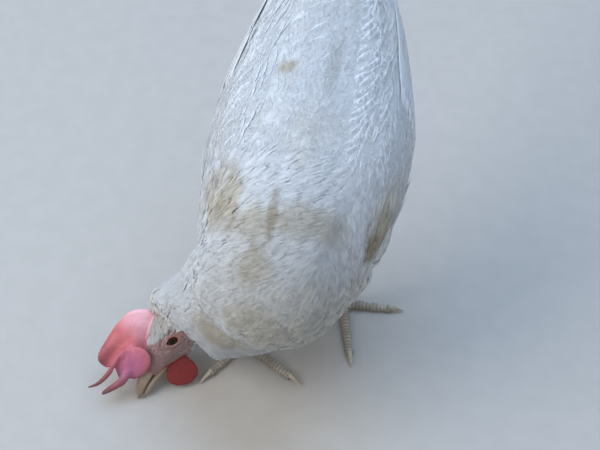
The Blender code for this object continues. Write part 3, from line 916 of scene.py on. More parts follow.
def plumage_look():
    """Feathers: barbs run from the shaft, painted shade darkens root and streaks, and every feather differs
    a little.
    """
    made, net, surface = new_look("plumage", 0.62, Sheen_Weight=0.12, Sheen_Roughness=0.5,
                                  Subsurface_Weight=0.5, Subsurface_Scale=0.004, Specular_IOR_Level=0.25)
    surface.inputs["Subsurface Radius"].default_value = (1.0, 0.95, 0.9)
    lie = net.add("ShaderNodeUVMap", uv_map="lie")
    split = net.add("ShaderNodeSeparateXYZ", {0: lie})
    across, along = split, split.node.outputs[1]
    stretched = net.vector("MULTIPLY", lie, (7.0, 1.6, 0.0))
    streak = net.noise(stretched, 1.0, 2.0)
    own = net.group(PLUMAGE_COLOURS, {"Streak": streak})
    # Painted shade: towards its root every feather is multiplied darker.
    root_painted_shade = net.mix(1.0, own, colour(0.90, 0.88, 0.85), "MULTIPLY")
    tone = net.mix(net.ramp(net.own("reach"), 0.5, 0.0), own, root_painted_shade)
    # Painted shade, partly: the streaks along every feather darken it by up to 6 %, for the shade between
    # clumps of barbs.
    streak_painted_shade = net.ramp(streak, 0.2, 0.8, 0.94, 1.0)
    tone = net.mix(1.0, tone, net.add("ShaderNodeCombineColor", {0: streak_painted_shade, 1: streak_painted_shade, 2: streak_painted_shade}), "MULTIPLY")
    tone = net.mix(net.math("MULTIPLY", net.own("shade"), 0.05), tone, CREAM)
    set_colour(net, surface, tone)
    side = net.math("ABSOLUTE", net.math("SUBTRACT", across, net.math("ROUND", across)))
    slant = net.math("SUBTRACT", along, net.math("MULTIPLY", side, 0.35))
    bump(net, surface, net.math("SINE", net.math("MULTIPLY", slant, 380.0)), 0.00004, 0.35)
    return made


def horn_look(name, base, dark, deep):
    """Beak and claws: growth lines and scratches, browner where worn."""
    made, net, surface = new_look(name, 0.36, Coat_Weight=0.15, Coat_Roughness=0.3)
    place = net.place()
    broad = net.noise(place, 90.0, 3.0)
    lines = net.noise(place, 700.0, 5.0, 0.7)
    tone = net.mix(net.ramp(broad, 0.35, 0.7), base, dark)
    tone = net.mix(net.math("MULTIPLY", net.ramp(lines, 0.45, 0.75), 0.5), tone, deep)
    tone = net.mix(net.own("worn"), tone, deep)
    set_colour(net, surface, tone)
    net.tree.links.new(net.ramp(lines, 0.3, 0.8, 0.30, 0.52), surface.inputs["Roughness"])
    bump(net, surface, lines, 0.00012, 0.6)
    return made


def skin_look():
    """Bare skin of face, comb, wattles, lobes and legs, and the skin under the coat, each by its mask."""
    made, net, surface = new_look("skin", 0.5, Subsurface_Weight=0.12, Subsurface_Scale=0.002)
    surface.inputs["Subsurface Radius"].default_value = (1.0, 0.35, 0.25)
    place = net.place()
    broad, mottle = net.noise(place, 70.0, 3.0), net.noise(place, 420.0, 4.0, 0.6)
    pimples, pits = (net.group(GRAIN, {"Size": 1050.0, "Fine": 0.5}, out) for out in ("Height", "Mask"))
    own = net.group(PLUMAGE_COLOURS, {"Streak": 0.5})
    tone = net.mix(0.15, own, colour(0.72, 0.52, 0.48))
    # Painted shade, partly: the face's grey pink is darkened for the shade the face lies in.
    face = net.mix(net.ramp(mottle, 0.35, 0.7), colour(0.24, 0.125, 0.112), colour(0.33, 0.19, 0.17))
    face = net.mix(net.own("flush"), face, colour(0.50, 0.16, 0.14))
    tone = net.mix(net.own("face"), tone, face)
    red = net.mix(net.ramp(broad, 0.35, 0.65), colour(0.50, 0.102, 0.108), colour(0.58, 0.140, 0.145))
    # Painted shade: darker red on the comb's high front part.
    red = net.mix(net.own("comb_painted_shade"), red, colour(0.35, 0.085, 0.100))
    # Painted light: pale pink on the comb's back part, as if lit by the sky.
    red = net.mix(net.own("comb_painted_light"), red, colour(0.92, 0.50, 0.55))
    red = net.mix(net.own("comb_purple"), red, colour(0.48, 0.140, 0.245))
    red = net.mix(net.own("comb_dark"), red, colour(0.16, 0.060, 0.070))
    red = net.mix(net.math("MULTIPLY", pits, 0.14), red, colour(0.40, 0.06, 0.07))
    tone = net.mix(net.own("comb"), tone, red)
    # Painted shade, partly: the wattles' deep red is darkened for the shade they hang in.
    deep = net.mix(net.ramp(mottle, 0.35, 0.7), colour(0.20, 0.015, 0.014), colour(0.29, 0.025, 0.023))
    tone = net.mix(net.own("wattle"), tone, deep)
    lobe = net.mix(net.ramp(mottle, 0.35, 0.65), colour(0.58, 0.52, 0.50), colour(0.76, 0.73, 0.70))
    tone = net.mix(net.own("lobe"), tone, lobe)
    leg = net.mix(net.ramp(broad, 0.35, 0.65), colour(0.42, 0.38, 0.31), colour(0.30, 0.265, 0.21))
    leg = net.mix(net.own("seam"), leg, colour(0.15, 0.105, 0.07))
    leg = net.mix(net.ramp(mottle, 0.55, 0.8), leg, colour(0.24, 0.18, 0.12))
    tone = net.mix(net.own("leg"), tone, leg)
    set_colour(net, surface, tone)
    net.tree.links.new(net.ramp(mottle, 0.3, 0.7, 0.42, 0.60), surface.inputs["Roughness"])
    bump(net, surface, pimples, 0.00028, 0.5)
    return made


def eye_look():
    """A dark iris with rays, a rim and a wide pupil, under a clear wet coat."""
    made, net, surface = new_look("eye", 0.30, Coat_Weight=0.10, Coat_Roughness=0.03,
                                  Specular_IOR_Level=0.15)
    ring = net.own("ring")
    rays = net.noise(net.place(), 1500.0, 3.0)
    iris = net.mix(net.ramp(rays, 0.35, 0.7), colour(0.07, 0.018, 0.008), colour(0.15, 0.042, 0.015))
    iris = net.mix(net.ramp(ring, 0.75, 1.0), iris, colour(0.03, 0.012, 0.008))
    tone = net.mix(net.ramp(ring, 0.58, 0.50), iris, colour(0.004, 0.004, 0.005))
    set_colour(net, surface, tone)
    return made


PLUMAGE = plumage_look()
SKIN = skin_look()
EYE = eye_look()
# The beak's horn colours are partly painted shade: darkened halfway towards the comb's shadow on the beak.
HORN = horn_look("horn", colour(0.36, 0.27, 0.175), colour(0.28, 0.20, 0.13), colour(0.19, 0.13, 0.085))
CLAW = horn_look("claw_horn", colour(0.50, 0.43, 0.33), colour(0.36, 0.29, 0.21), colour(0.14, 0.10, 0.07))


# Head ----------------------------------------------------------------------------------------
# Distance behind the beak's tip, half width, top, bottom
HEAD_STATIONS = [
    (0.074, 0.0120, 0.0120, 0.0130),
    (0.068, 0.0165, 0.0175, 0.0190),
    (0.058, 0.0175, 0.0190, 0.0220),
    (0.049, 0.0160, 0.0180, 0.0195),
    (0.041, 0.0135, 0.0155, 0.0155),
    (0.033, 0.0105, 0.0120, 0.0115),
    (0.026, 0.0080, 0.0087, 0.0085),
    (0.021, 0.0066, 0.0078, 0.0074),
]
HEAD_VOXEL = 0.00068
FOOT_VOXEL = 0.00074
LID_OPENING = (0.0041, 0.0026)            # half length and half height of the gap between the lids
LID_TILT = math.radians(-36)
LID_THICK = 0.0009
# The comb from its front to its back. Every row is a curve from the base over the bend to the free edge, as
# distance behind the beak's tip, rise and distance to the left.
COMB_ROWS = [
    ((0.0160, 0.0045), (0.0145, 0.0070, 0.0040), (0.0125, 0.0075, 0.0020)),
    ((0.0190, 0.0060), (0.0165, 0.0110, 0.0070), (0.0100, 0.0125, 0.0020)),
    ((0.0225, 0.0075), (0.0170, 0.0140, 0.0110), (0.0070, 0.0158, 0.0010)),
    ((0.0265, 0.0095), (0.0190, 0.0180, 0.0140), (0.0081, 0.0192, 0.0020)),
    ((0.0310, 0.0115), (0.0250, 0.0200, 0.0170), (0.0107, 0.0226, 0.0020)),
    ((0.0360, 0.0135), (0.0310, 0.0290, 0.0150), (0.0123, 0.0264, 0.0020)),
    ((0.0410, 0.0155), (0.0380, 0.0310, 0.0110), (0.0087, 0.0281, -0.0060)),
    ((0.0450, 0.0170), (0.0440, 0.0350, 0.0070), (0.0107, 0.0370, -0.0060)),
    ((0.0490, 0.0180), (0.0490, 0.0350, 0.0040), (0.0240, 0.0384, -0.0060)),
    ((0.0530, 0.0185), (0.0550, 0.0330, 0.0020), (0.0390, 0.0386, -0.0040)),
    ((0.0570, 0.0185), (0.0590, 0.0300, 0.0010), (0.0505, 0.0350, -0.0020)),
    ((0.0600, 0.0180), (0.0605, 0.0225, 0.0000), (0.0588, 0.0228, 0.0000)),
]
COMB_UNDER = 0.06       # how far the comb's sheet goes on into the head, as a share of a row
# Its two long points as tapering tubes: distance behind the beak's tip, rise, distance to the left, radius
COMB_POINTS = [
    [(0.0270, 0.0262, 0.0085, 0.0020),
     (0.0225, 0.0276, 0.0090, 0.0023),
     (0.0182, 0.0287, 0.0088, 0.0023),
     (0.0066, 0.0281, 0.0066, 0.0020),
     (-0.0040, 0.0299, 0.0022, 0.0016),
     (-0.0105, 0.0338, -0.0026, 0.0008)],
    [(0.0170, 0.0165, 0.0080, 0.0032),
     (0.0067, 0.0162, 0.0066, 0.0031),
     (-0.0017, 0.0192, 0.0032, 0.0025),
     (-0.0075, 0.0215, 0.0000, 0.0018),
     (-0.0100, 0.0226, -0.0014, 0.0010)],
]
# The round lobe that hangs over the root of the beak: its middle, and its half length, width and thickness
COMB_LOBE = ((0.0228, 0.0158, 0.0080), (0.0125, 0.0112, 0.0036))
LOBE_LEAN = (0.0036, -0.0022)             # how far the lobe leans out at its back end and at its upper edge
COMB_FINE = 8                             # sections drawn between two rows
EARLOBE_BACK, EARLOBE_RISE, EARLOBE_OUT = 0.0648, -0.0100, 0.0165
EARLOBE_SIZE = (0.0082, 0.0060, 0.0030)   # half length, half width, half thickness
WATTLE_HANG = {"left": (0.35, -0.48, -0.80), "right": (-0.72, -0.60, -0.16)}


def add_comb_sheet(bm):
    """The comb's folded sheet: thick at its base, thin at its edge, with a soft ridge to every other row."""
    fine = smooth_rows([base + bend + edge for base, bend, edge in COMB_ROWS], COMB_FINE)
    rows = [(head_point(*row[:2]), head_point(*row[2:5]), head_point(*row[5:])) for row in fine]
    last = len(rows) - 1

    def place(u, v):
        base, bend, edge = rows[round(u * last)]
        v = v * (1 + COMB_UNDER) - COMB_UNDER
        return base * (1 - v) ** 2 + bend * 2 * v * (1 - v) + edge * v * v

    def half_thick(u, v):
        ridge = 0.00022 * math.cos(math.tau * u * last / COMB_FINE / 2)
        return 0.0026 - 0.0010 * v + ridge * v * (1 - v) * 4

    blade(bm, last, 18, place, half_thick)


def add_comb_point(bm, line):
    points = smooth_rows(line, 6)
    places = [head_point(*point[:3]) for point in points]
    rings = []
    for i, (here, point) in enumerate(zip(places, points)):
        way = (places[min(i + 1, len(places) - 1)] - places[max(i - 1, 0)]).normalized()
        side = way.cross(HEAD_LEFT).normalized()
        flat = point[3] * 0.8
        rings.append(oval(here, side, side.cross(way), point[3], flat, flat, 24))
    tube(bm, rings)


def add_comb_lobe(bm):
    (back, rise, left), (long, wide, thick) = COMB_LOBE
    for vert in ball(bm, 48, 32):
        along, across, out = vert.co
        vert.co = head_point(back + along * long, rise + across * wide,
                             left + out * thick + LOBE_LEAN[0] * along + LOBE_LEAN[1] * across)


def add_flap(bm, centre, long_axis, flat_axis, half_length, half_width, half_thick, rim=0.0):
    """A lens-shaped flap, with a slightly thicker rim if asked."""
    long_axis = long_axis.normalized()
    flat_axis = (flat_axis - long_axis * flat_axis.dot(long_axis)).normalized()
    cross_axis = long_axis.cross(flat_axis)
    for vert in ball(bm, 40, 24):
        along, across, out = vert.co
        width = half_width * (1.0 + 0.25 * along)
        spread = math.hypot(along, across)
        swell = 1 + rim * math.exp(-((spread - 0.84) / 0.10) ** 2)
        vert.co = (centre + long_axis * along * half_length + cross_axis * across * width
                   + flat_axis * out * half_thick * swell)


WATTLE_SIZE = (0.0125, 0.0120, 0.0017)    # half length, half width, half thickness


def wattle_frame(side):
    """Middle of a wattle, the way it hangs and the way its flat side faces."""
    sign = SIGN[side]
    hang = Vector(WATTLE_HANG[side]).normalized()
    jaw = head_point(0.050, -0.019, sign * 0.0095) - head_point(0.0265, -0.006, sign * 0.0060)
    top = head_point(0.0392 if side == "left" else 0.0430, -0.0129, sign * 0.0052)
    return top + hang * 0.0085, hang, hang.cross(jaw).normalized()


def on_wattle(points, side):
    """1 on a wattle, 0 away from it."""
    centre, hang, flat = wattle_frame(side)
    off = points - np.array(centre)
    along = off @ np.array(hang) / WATTLE_SIZE[0]
    across = off @ np.array(hang.cross(flat)) / WATTLE_SIZE[1] / (1 + 0.25 * np.clip(along, -1, 1))
    out = np.abs(off @ np.array(flat)) / WATTLE_SIZE[2]
    return (1 - blend(np.hypot(along, across), 1.04, 1.16)) * (1 - blend(out, 1.7, 2.3))


def head_frame(points):
    """Points as distance behind the beak's tip, rise and distance to the left."""
    offset = points - np.array(BEAK_TIP)
    return offset @ -np.array(HEAD_FORWARD), offset @ np.array(HEAD_UP), offset @ np.array(HEAD_LEFT)


def mound(value, centre, reach):
    return np.exp(-((value - centre) / reach) ** 2)


def lid_distance(back, rise):
    """How far a point is from the eye's middle, in units of the gap between the lids."""
    x, y = back - EYE_BACK, rise - EYE_RISE
    along = x * math.cos(LID_TILT) + y * math.sin(LID_TILT)
    over = -x * math.sin(LID_TILT) + y * math.cos(LID_TILT)
    over = over + 0.10 * along * along / LID_OPENING[0]
    return np.hypot(along / LID_OPENING[0], over / LID_OPENING[1])


def sculpt_head(points, normals):
    """Moves the head's points for brows, lids, cheeks and the corner of the mouth."""
    back, rise, left = head_frame(points)
    out = np.abs(left)
    lid = lid_distance(back, rise)
    flank = blend(out, 0.004, 0.009) * blend(back, 0.028, 0.034) * (1 - blend(rise, 0.014, 0.018))
    push = 0.0011 * mound(back, EYE_BACK + 0.002, 0.010) * mound(rise, 0.0085, 0.0026)
    push += 0.0007 * mound(back, 0.054, 0.006) * mound(rise, -0.0050, 0.004)
    push -= 0.0009 * mound(rise, -0.0052 - (back - 0.030) * 0.22, 0.0011) * (1 - blend(back, 0.040, 0.046))
    push -= 0.0006 * mound(lid, 2.15, 0.35)
    push += 0.0004 * mound(lid, 1.70, 0.22)
    push -= 0.0005 * mound(lid, 1.42, 0.10)
    push += 0.0006 * mound(lid, 1.20, 0.12)
    moved = points + normals * (push * flank)[:, None]
    outward = np.sign(left)[:, None] * np.array(HEAD_LEFT)
    sink = 0.0042 * (1 - blend(lid, 0.93, 1.10)) * (out > 0.009)
    return moved - outward * sink[:, None]


def shift_points(bm, change):
    """Moves every point of bm by change(points, normals), which returns the new places."""
    bm.normal_update()
    points = np.array([vert.co for vert in bm.verts])
    normals = np.array([vert.normal for vert in bm.verts])
    for vert, place in zip(bm.verts, change(points, normals)):
        vert.co = place


def ripple(points, scale, amount, seed=0.0):
    """Small uneven swelling, as one number for every point."""
    shift = Vector((seed, seed, seed))
    return np.array([amount * noise.noise(Vector(point) * scale + shift) for point in points])


def in_box(values, limits):
    return all(low < value < high for value, (low, high) in zip(values, limits))


# The part of the head where the comb's lobe blends into its sheet
LOBE_BLEND = ((0.010, 0.038), (0.0100, 0.0285), (0.0030, 0.0300))


def make_head_skin():
    """The head with lids, comb, wattles and ear lobes, as one closed surface."""
    bm = bmesh.new()
    rings = [oval(head_point(back), HEAD_LEFT, HEAD_UP, half_width, top, bottom, 56)
             for back, half_width, top, bottom in smooth_rows(HEAD_STATIONS, 6)]
    tube(bm, rings)
    for sign in (1, -1):
        lid = ball(bm, 40, 28, EYE_RADIUS + LID_THICK)
        bmesh.ops.translate(bm, verts=lid, vec=head_point(EYE_BACK, EYE_RISE, sign * EYE_OUT))
        add_flap(bm, head_point(EARLOBE_BACK, EARLOBE_RISE, sign * (EARLOBE_OUT - 0.0008)),
                 -HEAD_UP + HEAD_FORWARD * 0.35, HEAD_LEFT, *EARLOBE_SIZE)
    for side in SIDES:
        add_flap(bm, *wattle_frame(side), *WATTLE_SIZE, rim=0.25)
    add_comb_sheet(bm)
    for line in COMB_POINTS:
        add_comb_point(bm, line)
    add_comb_lobe(bm)
    bmesh.ops.recalc_face_normals(bm, faces=bm.faces)
    bm = fused(bm, HEAD_VOXEL)
    smooth(bm, 3)
    lobe = [vert for vert in bm.verts if in_box(head_frame(np.array(vert.co)), LOBE_BLEND)]
    smooth(bm, 14, lobe)
    shift_points(bm, sculpt_head)
    smooth(bm, 1)
    shift_points(bm, lambda points, normals: points + normals * (
        ripple(points, 420, 0.00016) + ripple(points, 1100, 0.00009, 5.0))[:, None])
    return bm


# Legs and feet -------------------------------------------------------------------------------
TOES = {"middle": (0.043, 0.0043), "inner": (0.031, 0.0039), "outer": (0.034, 0.0039),
        "hind": (0.016, 0.0034)}
CLAW_LENGTH = {"middle": 0.011, "inner": 0.010, "outer": 0.010, "hind": 0.009}
CLAW_ROOT = 0.0025                        # length of a claw inside its toe
ANKLE_HEIGHT = 0.010
SCUTE = 0.0026                            # length of a horny plate on a toe
TOE_START = 0.002                         # how far from the foot's middle a toe begins
SHANK_CAP = 0.007                         # over what length the shank's upper end rounds off
SHANK_RADII = [0.0060, 0.0050, 0.0072, 0.0062, 0.0052, 0.0050, 0.0052, 0.0058, 0.0066]
SHANK_SCUTE = 0.0040


def foot_point(side):
    """Where the middle of a foot stands on the floor."""
    return HERE + Vector((*LEGS[side]["foot"], 0.0))


def toe_heading(degrees):
    angle = math.radians(degrees)
    return Vector((math.sin(angle), -math.cos(angle), 0.0))


def sideways(heading):
    return Vector((-heading.y, heading.x, 0.0))


def plate_step(distance, pitch):
    """Overlapping plates: each rises towards its lower end, then drops to the next."""
    share = (distance / pitch) % 1.0
    return share ** 1.5 * (1 - max(0.0, (share - 0.86) / 0.14) ** 2)


def add_toe(bm, foot, heading, length, radius):
    """A toe with three pads, plates over its top and wrinkles below."""
    start, tip_radius = foot + heading * TOE_START, radius * 0.72
    side = sideways(heading)
    rings = []
    steps = int(length / 0.0005)
    for step in range(steps + 1):
        share = step / steps
        swell = 1 + 0.10 * math.cos(math.tau * 3 * share)
        here = (radius + (tip_radius - radius) * share) * swell
        centre = start + heading * (length + TOE_START) * share + Vector((0, 0, here * 0.86))
        ring = []
        for angle in turns(24):
            top = max(0.0, math.sin(angle))
            plate = 0.00042 * plate_step(length * share, SCUTE) * top ** 0.7
            pads = 0.00025 * math.sin(length * share / 0.0011) * max(0.0, -math.sin(angle))
            reach = here * 0.95 + plate + pads
            corner = centre + side * math.cos(angle) * reach + Vector((0, 0, math.sin(angle) * reach))
            corner.z = max(corner.z, 0.0)
            ring.append(corner)
        rings.append(ring)
    tube(bm, rings)


def add_shank(bm, side):
    """A shank with plates in front and a net of small scales behind, and the ball of the foot."""
    leg, foot = LEGS[side], foot_point(side)
    hock = HERE + Vector(leg["hock"])
    ankle = foot + Vector((0, 0, ANKLE_HEIGHT))
    down = (ankle - hock).normalized()
    front = toe_heading(leg["middle"])
    front = (front - down * front.dot(down)).normalized()
    across = down.cross(front)
    top = hock - down * 0.012
    length = (ankle - top).length
    rows = smooth_rows([(radius,) for radius in SHANK_RADII], 20)
    rings = []
    for index, (radius,) in enumerate(rows):
        reach_down = length * index / (len(rows) - 1)
        centre = top + down * reach_down
        radius *= math.sqrt(1 - (1 - min(1.0, 0.04 + reach_down / SHANK_CAP)) ** 2)
        ring = []
        for angle in turns(32):
            ahead = math.cos(angle)
            plate = 0.0005 * plate_step(reach_down, SHANK_SCUTE) * max(0.0, ahead) ** 0.5
            net = 0.00022 * math.sin(reach_down / 0.00055 + 3 * angle) * math.sin(9 * angle)
            net *= max(0.0, 0.3 - ahead)
            reach = radius * 0.94 + plate + net
            ring.append(centre + front * ahead * reach * 1.08 + across * math.sin(angle) * reach * 0.92)
        rings.append(ring)
    tube(bm, rings)
    sole = ball(bm, 32, 20, 0.0086)
    for vert in sole:
        vert.co.z = max(vert.co.z * 0.8 + 0.0052, 0.0)
    bmesh.ops.translate(bm, verts=sole, vec=foot)


def make_foot(side):
    bm = bmesh.new()
    add_shank(bm, side)
    for toe, (length, radius) in TOES.items():
        add_toe(bm, foot_point(side), toe_heading(LEGS[side][toe]), length, radius)
    bmesh.ops.recalc_face_normals(bm, faces=bm.faces)
    bm = fused(bm, FOOT_VOXEL)
    shift_points(bm, lambda points, normals: np.maximum(points, (-9, -9, 0.0)))
    return bm


# Skin ----------------------------------------------------------------------------------------
def both(part):
    return tuple(f"{part}_{side}" for side in SIDES)


LEG_NODES = both("shank") + tuple(f"toe_{side}_{toe}" for side in SIDES for toe in TOES)
SKIN_NODES = FLESH + ("comb",) + both("wattle") + both("earlobe") + LEG_NODES
HEAD_UNDER = 0.0045                       # how far the body's skin stays inside the finer skin of the head


def body_skin():
    """The skin of the body, inside the coat by its depth."""
    depth = np.where(form.node == FLESH.index("head"), HEAD_UNDER, form.per_node("depth"))
    points = form.points - form.normals * form.spread(depth, 10)[:, None]
    points = form.spread(points, 2)
    mesh = bpy.data.meshes.new("body")
    mesh.from_pydata(points.tolist(), [], form.faces)
    bm = bmesh.new()
    bm.from_mesh(mesh)
    bpy.data.meshes.remove(mesh)
    return bm


def near_nodes(points, nodes, reach):
    """1 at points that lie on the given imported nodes, falling to 0 at reach from them."""
    mask = np.zeros(len(points))
    for node in nodes:
        low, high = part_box(node)
        inside = ((points > np.array(low) - reach) & (points < np.array(high) + reach)).all(1)
        tree = node_tree(node)
        for i in np.where(inside)[0]:
            distance = tree.find_nearest(points[i], reach)[3]
            if distance is not None:
                mask[i] = max(mask[i], 1 - distance / reach)
    return mask


def comb_mask(points, back, rise, left):
    """1 on the comb, its two long points and its lobe, 0 on the head."""
    near = blend(near_nodes(points, ("comb",), 0.0030), 0.35, 0.65)
    hull = np.interp(back, *zip(*sorted((row[0], row[2]) for row in HEAD_STATIONS))) + 0.0012
    ahead = 1 - blend(back, 0.020, 0.026)
    over = blend(rise, 0.0020, 0.0035) * blend(left, -0.010, -0.008)
    on_top = blend(rise - hull, 0.0, 0.0008) * (1 - blend(back, 0.060, 0.064))
    centre, (long, wide, thick) = COMB_LOBE
    along, across = (back - centre[0]) / long, (rise - centre[1]) / wide
    out = (left - centre[2] - LOBE_LEAN[0] * along - LOBE_LEAN[1] * across) / thick
    lobe = np.sqrt(along ** 2 + across ** 2 + (out / 1.6) ** 2)
    return np.maximum.reduce([near, over * np.maximum(ahead, on_top), 1 - blend(lobe, 1.12, 1.22)])


def at_hock(points):
    """1 round the hocks, where the scales begin under the last feathers."""
    gaps = [np.linalg.norm(points - np.array(HERE + Vector(LEGS[side]["hock"])), axis=1) for side in SIDES]
    return 1 - blend(np.min(gaps, 0), 0.012, 0.017)


def skin_masks(points):
    """Which part of the hen every skin point belongs to, how flushed it is there, and where light and shade
    are painted on the comb.
    """
    back, rise, left = head_frame(points)
    lid = lid_distance(back, rise)
    masks = {
        "comb": comb_mask(points, back, rise, left),
        "wattle": np.maximum(on_wattle(points, "left"), on_wattle(points, "right")),
        "lobe": blend(near_nodes(points, both("earlobe"), 0.0022), 0.3, 0.6),
        "leg": np.maximum(blend(near_nodes(points, LEG_NODES, 0.0040), 0.2, 0.5), at_hock(points)),
        "face": 1 - blend(np.hypot((back - 0.035) / 0.030, rise / 0.030), 0.95, 1.15),
    }
    # Painted light: where the comb's back part turns pale, as if lit by the sky.
    masks["comb_painted_light"] = masks["comb"] * blend(back - 0.25 * (rise - 0.03), 0.034, 0.056)
    lobe = np.hypot((back - 0.0170) / 0.0165, (rise - 0.0160) / 0.0125)
    masks["comb_purple"] = masks["comb"] * (1 - blend(lobe, 0.25, 1.35)) * blend(left, 0.000, 0.006)
    tips = 1 - 0.30 * blend(back, -0.008, 0.004)
    masks["comb_dark"] = masks["comb"] * tips * (1 - blend(back, 0.004, 0.018))
    # Painted shade: where the comb's high front part is darkened.
    masks["comb_painted_shade"] = masks["comb"] * blend(rise, 0.027, 0.034) * (1 - blend(back, 0.018, 0.036))
    lids = 0.15 * mound(lid, 1.35, 0.5)
    behind_comb = blend(rise, 0.0140, 0.0170) * mound(back, 0.0645, 0.005)
    behind_eye = 0.55 * mound(rise, 0.000, 0.005) * mound(back, 0.0590, 0.0035)
    masks["flush"] = np.clip(lids + behind_comb + behind_eye, 0, 1)
    return masks


def leg_seams(points):
    """1 in the dirty furrows between the plates of shanks and toes."""
    seams = np.zeros(len(points))
    for side in SIDES:
        off = points - np.array(foot_point(side))
        for toe, (length, radius) in TOES.items():
            heading = toe_heading(LEGS[side][toe])
            along = off @ np.array(heading)
            aside = np.abs(off @ np.array(sideways(heading)))
            here = (along > 0.004) & (along < length + 0.004) & (aside < radius * 1.3)
            here &= points[:, 2] < 0.0115
            share = ((along - TOE_START) / (length + TOE_START) * length / SCUTE) % 1.0
            furrow = np.maximum(blend(share, 0.80, 0.95), 1 - blend(share, 0.02, 0.12))
            seams = np.where(here, np.maximum(seams, furrow), seams)
    return seams


def make_skin():
    mesh = joined(body_skin(), [make_head_skin(), make_foot("left"), make_foot("right")])
    points = point_array(mesh)
    for name, values in {**skin_masks(points), "seam": leg_seams(points)}.items():
        add_layer(mesh, name, values)
    add_layer(mesh, "bare", lid_distance(*head_frame(points)[:2]))
    skin = add_piece(mesh, "skin", SKIN)
    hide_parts(*SKIN_NODES)
    return skin


# Eyes, beak and claws ------------------------------------------------------------------------
def make_eye(side):
    """An eyeball with a slight bulge over its pupil."""
    sign = SIGN[side]
    bm = bmesh.new()
    gaze = (HEAD_LEFT * sign + HEAD_FORWARD * 0.10).normalized()
    turn = gaze.to_track_quat("Z", "Y").to_matrix().to_4x4()
    made = ball(bm, 64, 48)
    rings = []
    for vert in made:
        spread = math.acos(max(-1.0, min(1.0, vert.co.z)))
        bulge = 0.00035 * math.exp(-(spread / 0.42) ** 2)
        rings.append(min(spread / 0.62, 1.5))
        vert.co *= EYE_RADIUS - 0.0003 + bulge
    centre = head_point(EYE_BACK, EYE_RISE, sign * EYE_OUT)
    bmesh.ops.transform(bm, verts=made, matrix=Matrix.Translation(centre) @ turn)
    eye = finish_piece(bm, "eyeball_" + side, EYE)
    add_layer(eye.data, "ring", rings)
    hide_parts("eye_" + side)


# Distance behind the beak's tip, half width, height above and below the middle, and the middle's rise
BEAK_ROWS = {
    "upper": [
        (0.036, 0.0080, 0.0095, 0.0030, 0.0010),
        (0.026, 0.0070, 0.0082, 0.0034, 0.0002),
        (0.018, 0.0054, 0.0072, 0.0032, 0.0000),
        (0.010, 0.0038, 0.0052, 0.0030, -0.0006),
        (0.004, 0.0022, 0.0028, 0.0026, -0.0016),
        (0.000, 0.0007, 0.0009, 0.0009, -0.0030)],
    "lower": [
        (0.036, 0.0066, 0.0036, 0.0030, -0.0080),
        (0.026, 0.0060, 0.0035, 0.0030, -0.0067),
        (0.018, 0.0047, 0.0029, 0.0026, -0.0059),
        (0.010, 0.0034, 0.0024, 0.0020, -0.0057),
        (0.0045, 0.0016, 0.0012, 0.0010, -0.0056)],
}
CUTTING_EDGE = {"upper": -0.0025, "lower": -0.0045}      # its rise


def nostril(back, rise):
    """How far a point is from the middle of the nostril's slit, in its own half sizes."""
    return np.hypot((back - 0.0235) / 0.0024, (rise - 0.0022) / 0.0008)


def make_beak(part):
    """One half of the beak: sharp cutting edges, and on the upper half a ridge and two nostrils."""
    bm = bmesh.new()
    squareness = 0.85 if part == "upper" else 1.1
    rings = []
    for back, half_width, top, bottom, droop in smooth_rows(BEAK_ROWS[part], 10):
        ring = []
        for angle in turns(48):
            across, along = math.cos(angle), math.sin(angle)
            wide = abs(across) ** squareness * math.copysign(1, across)
            ring.append(head_point(back, droop + along * (top if along > 0 else bottom), wide * half_width))
        rings.append(ring)
    tube(bm, rings)
    bmesh.ops.recalc_face_normals(bm, faces=bm.faces)

    def carve(points, normals):
        back, rise, left = head_frame(points)
        push = np.zeros(len(points))
        if part == "upper":
            slit = nostril(back, rise)
            push -= 0.0009 * (1 - blend(slit, 0.6, 1.2)) * (np.abs(left) > 0.002)
            push += 0.0004 * mound(slit, 1.7, 0.5) * (np.abs(left) > 0.002)
        push += ripple(points, 500, 0.00010)
        return points + normals * push[:, None]

    shift_points(bm, carve)
    beak = finish_piece(bm, "horn_" + part, HORN)
    back, rise, _ = head_frame(point_array(beak.data))
    edge = 1 - blend(np.abs(rise - CUTTING_EDGE[part]), 0.0003, 0.0012)
    worn = 0.6 * edge + 0.4 * (1 - blend(back, 0.001, 0.006))
    if part == "upper":
        worn = np.maximum(worn, 1 - blend(nostril(back, rise), 0.7, 1.3))
    add_layer(beak.data, "worn", np.clip(worn, 0, 1))
    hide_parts("beak_" + part)


def make_claws(side):
    """The four claws of a foot, each a bent horn that starts inside the end of its toe."""
    bm = bmesh.new()
    for toe, (length, _) in TOES.items():
        heading = toe_heading(LEGS[side][toe])
        across = sideways(heading)
        start = foot_point(side) + heading * (2 * TOE_START + length - CLAW_ROOT)
        reach = CLAW_LENGTH[toe] + CLAW_ROOT
        rings = []
        for step in range(17):
            share = step / 16
            size = 0.0025 * (1 - share) ** 0.75 + 0.0002
            height = 0.0037 + 0.0009 * share - 0.0034 * share * share
            centre = start + heading * reach * share + Vector((0, 0, height))
            ring = oval(centre, across, Vector((0, 0, 1)), size * 0.82, size, size * 0.8, 20)
            rings.append([Vector((corner.x, corner.y, max(corner.z, 0.0))) for corner in ring])
        tube(bm, rings)
    bmesh.ops.recalc_face_normals(bm, faces=bm.faces)
    claws = finish_piece(bm, "claws_" + side, CLAW)
    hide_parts(*(f"claw_{side}_{toe}" for toe in TOES))


skin = make_skin()
for side in SIDES:
    make_eye(side)
    make_claws(side)
for part in BEAK_ROWS:
    make_beak(part)


# The coat --------------------------------------------------------------------------------------
# Where the trunk's feathers are smaller
BREAST = COATS["trunk"]._replace(length=0.032, width=0.0050, spacing=0.0034)
BELLY = COATS["trunk"]._replace(width=0.0060, spacing=0.0046)
BELLY_TOP = -0.075      # rise below which down takes over from the back's feathers


